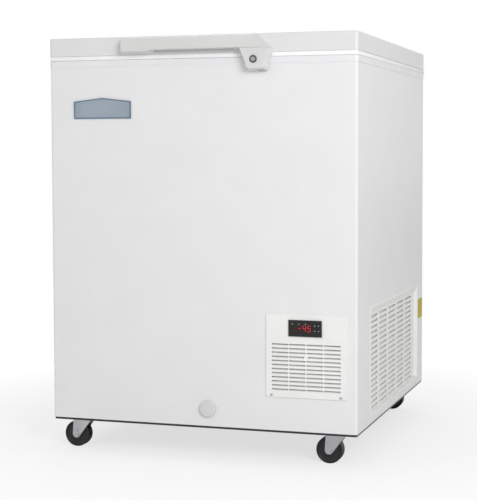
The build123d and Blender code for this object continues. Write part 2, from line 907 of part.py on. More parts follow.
# Turning plug with a keyway in front and a square tail behind
plug_face_y = tab_front_y - lock_face_height + lock_plug_recess
plug_back_y = tab_front_y + lock_barrel_length
tail_length = cam_gap + cam_sheet + cam_gap

with BuildPart() as lock_plug:
    with BuildSketch(front_plane(plug_face_y)):
        with Locations((lock_x, lock_z)):
            Circle(lock_plug_radius)
    extrude(amount=plug_face_y - plug_back_y)
    with BuildSketch(front_plane(plug_back_y)):
        with Locations((lock_x, lock_z)):
            Rectangle(lock_plug_radius, lock_plug_radius)
    extrude(amount=-tail_length)
    with BuildSketch(front_plane(plug_face_y)):
        with Locations((lock_x, lock_z)):
            Rectangle(keyway_width, keyway_height)
    extrude(amount=-keyway_depth, mode=Mode.SUBTRACT)
lock_plug.part.label = "lock_plug"
export_step(lock_plug.part, "parts/lock_plug.step")

# Cam on the plug's tail, hanging straight down when unlocked
with BuildPart() as lock_cam:
    with BuildSketch(front_plane(plug_back_y + cam_gap)):
        with Locations((lock_x, lock_z)):
            Circle(cam_width / 2)
        with Locations((lock_x, lock_z - cam_reach + cam_width / 2)):
            Circle(cam_width / 2)
        with Locations((lock_x, lock_z)):
            Rectangle(cam_width, cam_reach - cam_width / 2, align=(Align.CENTER, Align.MAX))
            Rectangle(lock_plug_radius + cam_gap, lock_plug_radius + cam_gap, mode=Mode.SUBTRACT)
    extrude(amount=-cam_sheet)
lock_cam.part.label = "lock_cam"
export_step(lock_cam.part, "parts/lock_cam.step")

# Bent strike on the collar; the cam turns in below its lip
strike_under_z = lock_z + cam_width / 2 + strike_gap

with BuildPart() as lock_strike:
    with BuildSketch(side_plane(strike_left_x)):
        with Locations((lid_front_y, strike_under_z + strike_sheet)):
            Rectangle(strike_sheet, strike_height, align=(Align.MAX, Align.MAX))
            Rectangle(strike_reach, strike_sheet, align=(Align.MAX, Align.MAX))
    extrude(amount=strike_width)
lock_strike.part.label = "lock_strike"
export_step(lock_strike.part, "parts/lock_strike.step")

# Hinges: a cabinet bracket, a lid arm and a pin each
hinge_y = back_y + hinge_axis_offset
hinge_z = collar_top_z + hinge_axis_rise
hinge_seat_y = back_y - skin
bracket_top_z = hinge_z - hinge_plate_drop
bracket_bottom_z = bracket_top_z - hinge_plate_height
ear_front_y = hinge_y - hinge_eye_radius
ear_rear_y = hinge_y + hinge_eye_radius
bracket_ear_x = (hinge_width - hinge_sheet) / 2
arm_width = hinge_width - 2 * (hinge_sheet + hinge_ear_gap)
arm_ear_x = (arm_width - hinge_sheet) / 2
arm_bottom_z = hinge_z + hinge_arm_rise
arm_top_z = arm_bottom_z + hinge_arm_height
hinge_sides = (-hinge_x, hinge_x)

with BuildPart() as hinge_brackets:
    for side_x in hinge_sides:
        for ear_x in (side_x - bracket_ear_x, side_x + bracket_ear_x):
            with BuildSketch(side_plane(ear_x)):
                with BuildLine():
                    Polyline(
                        (hinge_seat_y, bracket_bottom_z),
                        (hinge_seat_y + hinge_toe, bracket_bottom_z),
                        (ear_rear_y, hinge_z - hinge_knee_drop),
                        (ear_rear_y, hinge_z),
                        (ear_front_y, hinge_z),
                        (ear_front_y, bracket_top_z),
                        (hinge_seat_y, bracket_top_z),
                        close=True,
                    )
                make_face()
                with Locations((hinge_y, hinge_z)):
                    Circle(hinge_eye_radius)
                    Circle(hinge_pin_radius + hinge_pin_gap, mode=Mode.SUBTRACT)
            extrude(amount=hinge_sheet / 2, both=True)
        with BuildSketch(front_plane(hinge_seat_y)):
            with Locations((side_x, bracket_bottom_z)):
                Rectangle(hinge_width, hinge_plate_height, align=(Align.CENTER, Align.MIN))
        extrude(amount=-hinge_sheet)
hinge_brackets.part.label = "hinge_brackets"
export_step(hinge_brackets.part, "parts/hinge_brackets.step")

with BuildPart() as hinge_arms:
    for side_x in hinge_sides:
        for ear_x in (side_x - arm_ear_x, side_x + arm_ear_x):
            with BuildSketch(side_plane(ear_x)):
                with BuildLine():
                    Polyline(
                        (ear_front_y, hinge_z),
                        (ear_front_y, arm_bottom_z),
                        (lid_back_y, arm_bottom_z),
                        (lid_back_y, arm_top_z),
                        (lid_back_y + 2 * hinge_sheet, arm_top_z),
                        (ear_rear_y, hinge_z + hinge_eye_radius),
                        (ear_rear_y, hinge_z),
                        close=True,
                    )
                make_face()
                with Locations((hinge_y, hinge_z)):
                    Circle(hinge_eye_radius)
                    Circle(hinge_pin_radius + hinge_pin_gap, mode=Mode.SUBTRACT)
            extrude(amount=hinge_sheet / 2, both=True)
        with BuildSketch(front_plane(lid_back_y)):
            with Locations((side_x, arm_bottom_z)):
                Rectangle(arm_width, hinge_arm_height, align=(Align.CENTER, Align.MIN))
        extrude(amount=-hinge_sheet)
hinge_arms.part.label = "hinge_arms"
export_step(hinge_arms.part, "parts/hinge_arms.step")

# Hinge pins with a head at each end
with BuildPart() as hinge_pins:
    for side_x in hinge_sides:
        with BuildSketch(side_plane(side_x)):
            with Locations((hinge_y, hinge_z)):
                Circle(hinge_pin_radius)
        extrude(amount=hinge_width / 2, both=True)
        for end_x, outward in ((side_x - hinge_width / 2, -1), (side_x + hinge_width / 2, 1)):
            with BuildSketch(side_plane(end_x)):
                with Locations((hinge_y, hinge_z)):
                    Circle(hinge_pin_head)
            extrude(amount=outward * hinge_pin_head_height)
hinge_pins.part.label = "hinge_pins"
export_step(hinge_pins.part, "parts/hinge_pins.step")


def louvre_profile(inward):
    """Blade behind a slot, from the slot's lower edge inward and up: inward is its sign across the sketch."""
    with BuildSketch() as profile:
        with BuildLine():
            Polyline(
                (-inward * louvre_root, -louvre_sheet),
                (-inward * louvre_root, 0),
                (0, 0),
                (inward * louvre_reach, louvre_rise),
                (inward * louvre_reach, louvre_rise - louvre_sheet),
                (0, -louvre_sheet),
                close=True,
            )
        make_face()
    return profile.sketch


# Front panel: plate with a snap rim, a window for the controller and rows of louvred air slots
controller_x = controller_left + controller_width / 2 - half_width
controller_z = wrap_bottom_z + controller_bottom + controller_height / 2
controller_body_width = controller_width - 2 * controller_body_margin
controller_body_height = controller_height - 2 * controller_body_margin
panel_face_y = front_y - panel_sheet
slots_z = wrap_bottom_z + slot_first_row + (slot_rows - 1) * slot_pitch_z / 2
panel_boss_z = wrap_bottom_z + slot_first_row + panel_boss_row * slot_pitch_z
louvre_width = (slot_columns - 1) * slot_pitch_x + slot_width

with BuildPart() as control_panel:
    with BuildSketch(front_plane(front_y)):
        with Locations((panel_x, panel_z)):
            Rectangle(panel_size, panel_size)
    extrude(amount=panel_sheet)
    chamfer(control_panel.faces().sort_by(Axis.Y)[0].edges(), panel_edge_chamfer)
    with BuildSketch(front_plane(front_y)):
        with Locations((panel_x, panel_z)):
            Rectangle(panel_opening - 2 * seat_gap, panel_opening - 2 * seat_gap)
            Rectangle(
                panel_opening - 2 * (seat_gap + panel_rim_wall),
                panel_opening - 2 * (seat_gap + panel_rim_wall),
                mode=Mode.SUBTRACT,
            )
    extrude(amount=-panel_rim_depth)
    with BuildSketch(side_plane(panel_x)):
        with Locations((front_y, slots_z - slot_height / 2)):
            with GridLocations(panel_size, slot_pitch_z, 1, slot_rows):
                add(louvre_profile(1))
    extrude(amount=louvre_width / 2, both=True)
    with BuildSketch(front_plane(front_y)):
        with Locations((panel_x, slots_z)):
            with GridLocations(slot_pitch_x, slot_pitch_z, slot_columns, slot_rows):
                Rectangle(slot_width, slot_height)
        with Locations((panel_x, panel_boss_z)):
            Circle(panel_boss_radius, mode=Mode.SUBTRACT)
        with Locations((controller_x, controller_z)):
            Rectangle(controller_body_width + 2 * seat_gap, controller_body_height + 2 * seat_gap)
        with Locations((panel_x, panel_screw_z)):
            with GridLocations(panel_screw_spacing, panel_size, 2, 1):
                Circle(screw_shank_radius + seat_gap)
    extrude(amount=panel_sheet, mode=Mode.SUBTRACT)
control_panel.part.label = "control_panel"
export_step(control_panel.part, "parts/control_panel.step")

# Two screws that hold the lower edge of the panel
with BuildPart() as panel_screws:
    with BuildSketch(front_plane(panel_face_y)):
        with Locations((panel_x, panel_screw_z)):
            with GridLocations(panel_screw_spacing, panel_size, 2, 1):
                Circle(screw_head_radius)
    extrude(amount=screw_head_height)
    chamfer(panel_screws.faces().sort_by(Axis.Y)[:2].edges(), screw_head_height / 2)
    with BuildSketch(front_plane(panel_face_y)):
        with Locations((panel_x, panel_screw_z)):
            with GridLocations(panel_screw_spacing, panel_size, 2, 1):
                Circle(screw_shank_radius)
    extrude(amount=-screw_length)
panel_screws.part.label = "panel_screws"
export_step(panel_screws.part, "parts/panel_screws.step")

# Controller case: bezel in front of the panel, body behind it
bezel_face_y = panel_face_y - controller_bezel
window_x = controller_x - controller_width / 2 + window_left + window_width / 2
keys_x = controller_x - controller_width / 2 + key_left + key_spacing_x / 2
keys_z = controller_z - controller_height / 2 + key_centre_height
key_face_y = bezel_face_y - key_stand
key_pocket_depth = key_length - key_stand + key_travel + seat_gap

with BuildPart() as controller_case:
    with BuildSketch(front_plane(panel_face_y)):
        with Locations((controller_x, controller_z)):
            Rectangle(controller_width, controller_height)
    extrude(amount=controller_bezel)
    fillet(controller_case.faces().sort_by(Axis.Y)[0].edges(), controller_edge_radius)
    with BuildSketch(front_plane(panel_face_y)):
        with Locations((controller_x, controller_z)):
            Rectangle(controller_body_width, controller_body_height)
    extrude(amount=-controller_body_depth)
    with BuildSketch(front_plane(bezel_face_y)):
        with Locations((window_x, controller_z)):
            Rectangle(window_width, window_height)
    extrude(amount=-(window_recess + window_thickness), mode=Mode.SUBTRACT)
    with BuildSketch(front_plane(bezel_face_y)):
        with Locations((keys_x, keys_z)):
            with GridLocations(key_spacing_x, key_spacing_z, 2, 2):
                Rectangle(key_width, key_height)
    extrude(amount=-key_pocket_depth, mode=Mode.SUBTRACT)
controller_case.part.label = "controller_case"
export_step(controller_case.part, "parts/controller_case.step")

# Tinted window over the digits
with BuildPart() as display_window:
    with BuildSketch(front_plane(bezel_face_y + window_recess)):
        with Locations((window_x, controller_z)):
            Rectangle(window_width - 2 * window_gap, window_height - 2 * window_gap)
    extrude(amount=-window_thickness)
display_window.part.label = "display_window"
export_step(display_window.part, "parts/display_window.step")

# Four keys, two columns by two rows
key_places = {
    "key_power": (-1, 1),
    "key_up": (1, 1),
    "key_set": (-1, -1),
    "key_down": (1, -1),
}

for key_name, (column, row) in key_places.items():
    with BuildPart() as key:
        with BuildSketch(front_plane(key_face_y)):
            with Locations((keys_x + column * key_spacing_x / 2, keys_z + row * key_spacing_z / 2)):
                Rectangle(key_width - 2 * key_gap, key_height - 2 * key_gap)
        extrude(amount=-key_length)
        chamfer(key.faces().sort_by(Axis.Y)[0].edges(), key_edge_chamfer)
    key.part.label = key_name
    export_step(key.part, f"parts/{key_name}.step")

# Side grille: flange, recessed face with a sloped upper edge, slots and a louvre behind each row
grille_face_x = half_width + side_grille_proud
grille_floor_x = grille_face_x - side_grille_depth
grille_back_x = grille_floor_x - side_floor_wall
side_face_y = front_y + side_face_front + side_face_length / 2
side_face_z = wrap_bottom_z + side_face_bottom + side_face_height / 2
side_slots_y = front_y + side_slot_front + (side_slot_columns - 1) * side_slot_pitch_y / 2
side_slots_z = wrap_bottom_z + side_slot_bottom + (side_slot_rows - 1) * side_slot_pitch_z / 2
side_inner_radius = side_grille_corner - side_recess_inset
side_louvre_length = (side_slot_columns - 1) * side_slot_pitch_y + side_slot_length

with BuildPart() as side_grille:
    with BuildSketch(side_plane(half_width)):
        with Locations((side_grille_y, side_grille_z)):
            RectangleRounded(side_grille_length, side_grille_height, side_grille_corner)
    extrude(amount=side_grille_proud)
    with BuildSketch(side_plane(half_width)):
        with Locations((side_grille_y, side_grille_z)):
            RectangleRounded(
                side_opening_length - 2 * seat_gap,
                side_opening_height - 2 * seat_gap,
                side_opening_radius - seat_gap,
            )
    extrude(amount=grille_back_x - half_width)
    with BuildSketch(side_plane(grille_face_x)):
        with Locations((side_grille_y, side_grille_z)):
            RectangleRounded(
                side_grille_length - 2 * side_recess_inset,
                side_grille_height - 2 * side_recess_inset,
                side_inner_radius,
            )
    with BuildSketch(side_plane(grille_floor_x)):
        with Locations((side_face_y, side_face_z)):
            RectangleRounded(side_face_length, side_face_height, side_inner_radius)
    loft(ruled=True, mode=Mode.SUBTRACT)
    with BuildSketch(side_plane(grille_floor_x)):
        with Locations((side_slots_y, side_slots_z)):
            with GridLocations(
                side_slot_pitch_y,
                side_slot_pitch_z,
                side_slot_columns,
                side_slot_rows,
            ):
                Rectangle(side_slot_length, side_slot_height)
    extrude(amount=-side_floor_wall, mode=Mode.SUBTRACT)
    with BuildSketch(front_plane(side_slots_y)):
        with Locations((grille_back_x, side_slots_z - side_slot_height / 2)):
            with GridLocations(side_grille_length, side_slot_pitch_z, 1, side_slot_rows):
                add(louvre_profile(-1))
    extrude(amount=side_louvre_length / 2, both=True)
side_grille.part.label = "side_grille"
export_step(side_grille.part, "parts/side_grille.step")

# Plain badge plate with a crowned upper edge
badge_x = badge_left - half_width
badge_z = wrap_bottom_z + badge_bottom

with BuildPart() as badge_plate:
    with BuildSketch(front_plane(front_y)):
        with BuildLine():
            shoulder_z = badge_z + badge_height
            crown = (badge_x + badge_width / 2, shoulder_z + badge_rise)
            ThreePointArc((badge_x + badge_width, shoulder_z), crown, (badge_x, shoulder_z))
            Polyline(
                (badge_x, shoulder_z),
                (badge_x, badge_z),
                (badge_x + badge_width, badge_z),
                (badge_x + badge_width, shoulder_z),
            )
        make_face()
    extrude(amount=badge_thickness)
    chamfer(badge_plate.faces().sort_by(Axis.Y)[0].edges(), badge_edge_chamfer)
badge_plate.part.label = "badge_plate"
export_step(badge_plate.part, "parts/badge_plate.step")

# Drain plug: a cap over the outlet flange and a stem in its bore
cap_back_y = front_y - seat_gap
cap_face_y = cap_back_y - drain_cap_height

with BuildPart() as drain_plug:
    with BuildSketch(front_plane(cap_back_y)):
        with Locations((drain_centre_x, drain_z)):
            Circle(drain_cap_radius)
    extrude(amount=drain_cap_height)
    chamfer(drain_plug.faces().sort_by(Axis.Y)[0].edges(), drain_cap_edge)
    with BuildSketch(front_plane(cap_back_y)):
        with Locations((drain_centre_x, drain_z)):
            Circle(drain_flange_radius + seat_gap)
    extrude(amount=drain_cap_height - drain_cap_wall, mode=Mode.SUBTRACT)
    with BuildSketch(front_plane(cap_face_y + drain_cap_wall)):
        with Locations((drain_centre_x, drain_z)):
            Circle(drain_bore_radius - drain_plug_gap)
    extrude(amount=-drain_plug_length)
drain_plug.part.label = "drain_plug"
export_step(drain_plug.part, "parts/drain_plug.step")

# Finned condenser behind the front grille, standing on its two end plates
condenser_x = compartment_left_x + condenser_side + condenser_width / 2
condenser_y = front_y + condenser_setback + condenser_depth / 2
condenser_z = pan_top_z + condenser_lift + condenser_height / 2
condenser_back_y = condenser_y + condenser_depth / 2
condenser_left_x = condenser_x - condenser_width / 2
condenser_right_x = condenser_x + condenser_width / 2
fin_pitch = (condenser_width - 2 * condenser_end) / (condenser_fins + 1)

with BuildPart() as condenser:
    with BuildSketch(Plane.XY.offset(pan_top_z + condenser_lift)):
        with Locations((condenser_x, condenser_y)):
            Rectangle(condenser_width, condenser_core)
            with GridLocations(fin_pitch, condenser_depth, condenser_fins, 1):
                Rectangle(condenser_fin, condenser_depth)
    extrude(amount=condenser_height)
    with BuildSketch(Plane.XY.offset(pan_top_z)):
        with Locations((condenser_x, condenser_y)):
            with GridLocations(condenser_width - condenser_end, condenser_depth, 2, 1):
                Rectangle(condenser_end, condenser_depth)
    extrude(amount=condenser_height + condenser_lift)
    for bend in range(condenser_bends):
        bend_z = condenser_z + (bend - (condenser_bends - 1) / 2) * condenser_bend_pitch
        with BuildLine(front_plane(condenser_y)) as bend_path:
            CenterArc((condenser_right_x, bend_z), condenser_bend_radius, -90, 180)
        with BuildSketch(Plane(origin=bend_path.line @ 0, z_dir=bend_path.line % 0)):
            RegularPolygon(condenser_tube_radius, pipe_facets)
        sweep(path=bend_path.line)
condenser.part.label = "condenser"
export_step(condenser.part, "parts/condenser.step")

# Fan shroud on the back of the condenser, with a ring and arms that carry the motor
fan_x = condenser_x
fan_z = condenser_z
ring_back_y = condenser_back_y + shroud_sheet + shroud_ring_depth
shroud_inner_radius = shroud_ring_radius - shroud_ring_wall
motor_arm_reach = shroud_inner_radius + shroud_ring_wall / 2

with BuildPart() as fan_shroud:
    with BuildSketch(front_plane(condenser_back_y)):
        with Locations((fan_x, fan_z)):
            Rectangle(condenser_width, condenser_height)
            Circle(shroud_inner_radius, mode=Mode.SUBTRACT)
    extrude(amount=-shroud_sheet)
    with BuildSketch(front_plane(condenser_back_y + shroud_sheet)):
        with Locations((fan_x, fan_z)):
            Circle(shroud_ring_radius)
            Circle(shroud_inner_radius, mode=Mode.SUBTRACT)
    extrude(amount=-shroud_ring_depth)
    with BuildSketch(front_plane(ring_back_y)):
        with Locations((fan_x, fan_z)):
            Circle(motor_ring_radius)
            with PolarLocations(0, motor_arms):
                Rectangle(motor_arm_reach, motor_arm_width, align=(Align.MIN, Align.CENTER))
            Circle(fan_shaft_radius + seat_gap, mode=Mode.SUBTRACT)
    extrude(amount=motor_arm_depth)
fan_shroud.part.label = "fan_shroud"
export_step(fan_shroud.part, "parts/fan_shroud.step")

# Fan motor behind the arms
with BuildPart() as fan_motor:
    with BuildSketch(front_plane(ring_back_y)):
        with Locations((fan_x, fan_z)):
            Circle(motor_radius)
    extrude(amount=-motor_length)
    chamfer(fan_motor.faces().sort_by(Axis.Y)[-1].edges(), motor_edge_chamfer)
    with BuildSketch(front_plane(ring_back_y)):
        with Locations((fan_x, fan_z)):
            Circle(fan_shaft_radius + fan_shaft_gap)
    extrude(amount=-motor_length / 2, mode=Mode.SUBTRACT)
fan_motor.part.label = "fan_motor"
export_step(fan_motor.part, "parts/fan_motor.step")

# Fan: hub, pitched blades that widen to the tip, and shaft
fan_front_y = ring_back_y - motor_arm_depth - motor_gap - fan_hub_length
fan_tip_radius = shroud_inner_radius - fan_tip_gap
blade_root_radius = fan_hub_radius - fan_blade_thickness
shaft_length = ring_back_y + motor_length / 2 - seat_gap - fan_front_y

with BuildPart() as blade:
    with BuildSketch(Plane.XY.rotated((fan_blade_angle, 0, 0))):
        with BuildLine():
            Polyline(
                (blade_root_radius, -fan_blade_root / 2),
                (fan_tip_radius, -fan_blade_tip / 2),
                (fan_tip_radius, fan_blade_tip / 2),
                (blade_root_radius, fan_blade_root / 2),
                close=True,
            )
        make_face()
    extrude(amount=fan_blade_thickness / 2, both=True)

with BuildPart() as fan_blade:
    with BuildSketch(front_plane(fan_front_y)):
        with Locations((fan_x, fan_z)):
            Circle(fan_hub_radius)
    extrude(amount=-fan_hub_length)
    with Locations(Plane(origin=(fan_x, fan_front_y + fan_hub_length / 2, fan_z), z_dir=(0, -1, 0))):
        with PolarLocations(0, fan_blades):
            add(blade.part)
    with BuildSketch(front_plane(fan_front_y)):
        with Locations((fan_x, fan_z)):
            Circle(fan_shaft_radius + fan_shaft_gap)
    extrude(amount=-fan_hub_length, mode=Mode.SUBTRACT)
fan_blade.part.label = "fan_blade"
export_step(fan_blade.part, "parts/fan_blade.step")

with BuildPart() as fan_shaft:
    with BuildSketch(front_plane(fan_front_y)):
        with Locations((fan_x, fan_z)):
            Circle(fan_shaft_radius)
    extrude(amount=-shaft_length)
fan_shaft.part.label = "fan_shaft"
export_step(fan_shaft.part, "parts/fan_shaft.step")

# Hermetic compressor: welded can on a foot plate, with two pipe stubs
compressor_x = compartment_x
compressor_y = front_y + compressor_setback
foot_z = pan_top_z + mount_height
can_bottom_z = foot_z + compressor_foot_sheet
can_top_z = can_bottom_z + compressor_height
seam_z = can_bottom_z + compressor_height / 2
stub_top_z = can_top_z + stub_rise
discharge_x = compressor_x + stub_offset_x
discharge_y = compressor_y - stub_offset_y
suction_x = compressor_x - stub_offset_x
suction_y = compressor_y + stub_offset_y

with BuildPart() as compressor:
    with BuildSketch(Plane.XY.offset(can_bottom_z)):
        with Locations((compressor_x, compressor_y)):
            Circle(compressor_radius)
    extrude(amount=compressor_height)
    chamfer(compressor.edges().filter_by(GeomType.CIRCLE), compressor_dome)
    with BuildSketch(Plane.XY.offset(seam_z)):
        with Locations((compressor_x, compressor_y)):
            Circle(compressor_seam_radius)
    extrude(amount=compressor_seam_height / 2, both=True)
    with BuildSketch(Plane.XY.offset(foot_z)):
        with Locations((compressor_x, compressor_y)):
            RectangleRounded(compressor_foot_length, compressor_foot_width, compressor_foot_corner)
    extrude(amount=compressor_foot_sheet)
    with BuildSketch(Plane.XY.offset(seam_z)):
        with Locations((discharge_x, discharge_y), (suction_x, suction_y)):
            Circle(stub_radius)
    extrude(amount=stub_top_z - seam_z)
compressor.part.label = "compressor"
export_step(compressor.part, "parts/compressor.step")

# Rubber mounts under the corners of the foot plate
with BuildPart() as compressor_mounts:
    with BuildSketch(Plane.XY.offset(pan_top_z)):
        with Locations((compressor_x, compressor_y)):
            with GridLocations(
                compressor_foot_length - 2 * mount_inset,
                compressor_foot_width - 2 * mount_inset,
                2,
                2,
            ):
                Circle(mount_radius)
    extrude(amount=mount_height)
compressor_mounts.part.label = "compressor_mounts"
export_step(compressor_mounts.part, "parts/compressor_mounts.step")

# Terminal cover on the front of the can, hollowed to its curve
with BuildPart() as terminal_cover:
    with BuildSketch(Plane.XY.offset(can_bottom_z + terminal_lift)):
        with Locations((compressor_x, compressor_y - compressor_radius)):
            Rectangle(terminal_width, 2 * terminal_reach)
        with Locations((compressor_x, compressor_y)):
            Circle(compressor_seam_radius + terminal_gap, mode=Mode.SUBTRACT)
    extrude(amount=terminal_height)
    front_edges = terminal_cover.faces().sort_by(Axis.Y)[0].edges()
    fillet(front_edges, terminal_edge_radius)
terminal_cover.part.label = "terminal_cover"
export_step(terminal_cover.part, "parts/terminal_cover.step")

# Filter drier on the left wall, with a clip
drier_x = compartment_left_x + drier_standoff
drier_y = front_y + drier_setback
drier_bottom_z = pan_top_z + drier_lift
drier_mid_z = drier_bottom_z + drier_neck_length + drier_length / 2

with BuildPart() as filter_drier:
    with BuildSketch(Plane.XY.offset(drier_bottom_z + drier_neck_length)):
        with Locations((drier_x, drier_y)):
            Circle(drier_radius)
    extrude(amount=drier_length)
    chamfer(filter_drier.edges().filter_by(GeomType.CIRCLE), drier_shoulder)
    with BuildSketch(Plane.XY.offset(drier_bottom_z)):
        with Locations((drier_x, drier_y)):
            Circle(drier_neck_radius)
    extrude(amount=drier_length + 2 * drier_neck_length)
    with BuildSketch(Plane.XY.offset(drier_mid_z)):
        with Locations((compartment_left_x, drier_y)):
            Rectangle(drier_standoff, drier_clip_width, align=(Align.MIN, Align.CENTER))
    extrude(amount=drier_clip_width / 2, both=True)
filter_drier.part.label = "filter_drier"
export_step(filter_drier.part, "parts/filter_drier.step")

# Copper lines: discharge to the condenser, liquid to the drier, suction up into the foam
line_turn_z = stub_top_z + pipe_rise
liquid_port_z = condenser_z - condenser_height / 2 + port_inset
pipe_routes = [
    [
        (discharge_x, discharge_y, stub_top_z),
        (discharge_x, discharge_y, line_turn_z),
        (discharge_x, condenser_y, line_turn_z),
        (discharge_x, condenser_y, condenser_z + condenser_height / 2),
    ],
    [
        (condenser_left_x, condenser_y, liquid_port_z),
        (drier_x, condenser_y, liquid_port_z),
        (drier_x, drier_y, liquid_port_z),
        (drier_x, drier_y, drier_bottom_z),
    ],
    [
        (suction_x, suction_y, stub_top_z),
        (suction_x, suction_y, line_turn_z),
        (suction_x, suction_y + suction_run, line_turn_z),
        (suction_x, suction_y + suction_run, compartment_top_z),
    ],
]

with BuildPart() as copper_lines:
    for route in pipe_routes:
        with BuildLine() as line_path:
            FilletPolyline(*route, radius=pipe_bend_radius)
        with BuildSketch(Plane(origin=line_path.line @ 0, z_dir=line_path.line % 0)):
            RegularPolygon(pipe_radius, pipe_facets)
        sweep(path=line_path.line)
copper_lines.part.label = "copper_lines"
export_step(copper_lines.part, "parts/copper_lines.step")

# Casters: plate with king pin and rivet, swivelling fork, axle and wheel
plate_under_z = pan_under_z - caster_plate_sheet
crown_top_z = plate_under_z - race_height
crown_under_z = crown_top_z - fork_sheet
cheek_inner_y = wheel_width / 2 + wheel_side_gap
cheek_centre_y = cheek_inner_y + fork_sheet / 2
fork_half_width = cheek_inner_y + fork_sheet
caster_x = half_width - caster_inset_x
caster_front_y = front_y + caster_inset_y
caster_rear_y = back_y - caster_inset_y
caster_places = {
    "front_left": (-caster_x, caster_front_y),
    "front_right": (caster_x, caster_front_y),
    "rear_left": (-caster_x, caster_rear_y),
    "rear_right": (caster_x, caster_rear_y),
}

with BuildPart() as caster_plates:
    for place_x, place_y in caster_places.values():
        with BuildSketch(Plane.XY.offset(pan_under_z)):
            with Locations((place_x, place_y)):
                Rectangle(caster_plate_size, caster_plate_size)
        extrude(amount=-caster_plate_sheet)
        with BuildSketch(Plane.XY.offset(plate_under_z)):
            with Locations((place_x, place_y)):
                Circle(king_pin_radius)
        extrude(amount=crown_under_z - king_pin_gap - rivet_height - plate_under_z)
        with BuildSketch(Plane.XY.offset(crown_under_z - king_pin_gap)):
            with Locations((place_x, place_y)):
                Circle(rivet_radius)
        extrude(amount=-rivet_height)
caster_plates.part.label = "caster_plates"
export_step(caster_plates.part, "parts/caster_plates.step")

with BuildPart() as caster_bolts:
    for place_x, place_y in caster_places.values():
        with BuildSketch(Plane.XY.offset(plate_under_z)):
            with Locations((place_x, place_y)):
                with GridLocations(caster_bolt_spacing, caster_bolt_spacing, 2, 2):
                    RegularPolygon(bolt_head_radius, 6)
        extrude(amount=-bolt_head_height)
caster_bolts.part.label = "caster_bolts"
export_step(caster_bolts.part, "parts/caster_bolts.step")

for place_name, (place_x, place_y) in caster_places.items():
    axle_x = place_x - caster_trail
    with BuildPart() as caster_fork:
        for cheek_y in (place_y - cheek_centre_y, place_y + cheek_centre_y):
            with BuildSketch(front_plane(cheek_y)):
                with Locations((axle_x, wheel_radius)):
                    Circle(fork_toe_radius)
                with Locations((place_x, crown_top_z)):
                    Rectangle(fork_top_width, fork_shoulder, align=(Align.CENTER, Align.MAX))
                make_hull()
                with Locations((axle_x, wheel_radius)):
                    Circle(axle_radius + axle_gap, mode=Mode.SUBTRACT)
            extrude(amount=fork_sheet / 2, both=True)
        with BuildSketch(Plane.XY.offset(crown_under_z)):
            with Locations((place_x, place_y)):
                Rectangle(fork_top_width, 2 * cheek_inner_y)
        extrude(amount=fork_sheet)
        with BuildSketch(Plane.XY.offset(crown_top_z)):
            with Locations((place_x, place_y)):
                Circle(race_radius)
        extrude(amount=race_height - king_pin_gap)
        with BuildSketch(Plane.XY.offset(crown_under_z)):
            with Locations((place_x, place_y)):
                Circle(king_pin_radius + king_pin_gap)
        extrude(amount=fork_sheet + race_height, mode=Mode.SUBTRACT)
    caster_fork.part.label = f"caster_fork_{place_name}"
    export_step(caster_fork.part, f"parts/caster_fork_{place_name}.step")

    with BuildPart() as caster_axle:
        with BuildSketch(front_plane(place_y)):
            with Locations((axle_x, wheel_radius)):
                Circle(axle_radius)
        extrude(amount=fork_half_width, both=True)
        for end_y, outward in ((place_y - fork_half_width, 1), (place_y + fork_half_width, -1)):
            with BuildSketch(front_plane(end_y)):
                with Locations((axle_x, wheel_radius)):
                    Circle(axle_head_radius)
            extrude(amount=outward * axle_head_height)
    caster_axle.part.label = f"caster_axle_{place_name}"
    export_step(caster_axle.part, f"parts/caster_axle_{place_name}.step")

    with BuildPart() as caster_wheel:
        with BuildSketch(front_plane(place_y)):
            with Locations((axle_x, wheel_radius)):
                Circle(wheel_radius)
        extrude(amount=wheel_width / 2, both=True)
        chamfer(caster_wheel.edges().filter_by(GeomType.CIRCLE), wheel_edge)
        with BuildSketch(front_plane(place_y)):
            with Locations((axle_x, wheel_radius)):
                Circle(axle_radius + axle_gap)
        extrude(amount=wheel_width, both=True, mode=Mode.SUBTRACT)
    caster_wheel.part.label = f"caster_wheel_{place_name}"
    export_step(caster_wheel.part, f"parts/caster_wheel_{place_name}.step")
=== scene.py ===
"""Dressed model of a low temperature chest freezer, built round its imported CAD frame.

Lengths are in metres and places are in the frame of the CAD, which stands on the floor
with its front towards -Y. The CAD nodes keep their shapes. Some get a better material,
and others are replaced by a finer piece that stands in the same place.
"""

import json
import logging
import math
from collections.abc import Callable, Iterable, Sequence
from dataclasses import dataclass, field
from enum import Enum

import bmesh
import bpy
from mathutils import Matrix, Vector

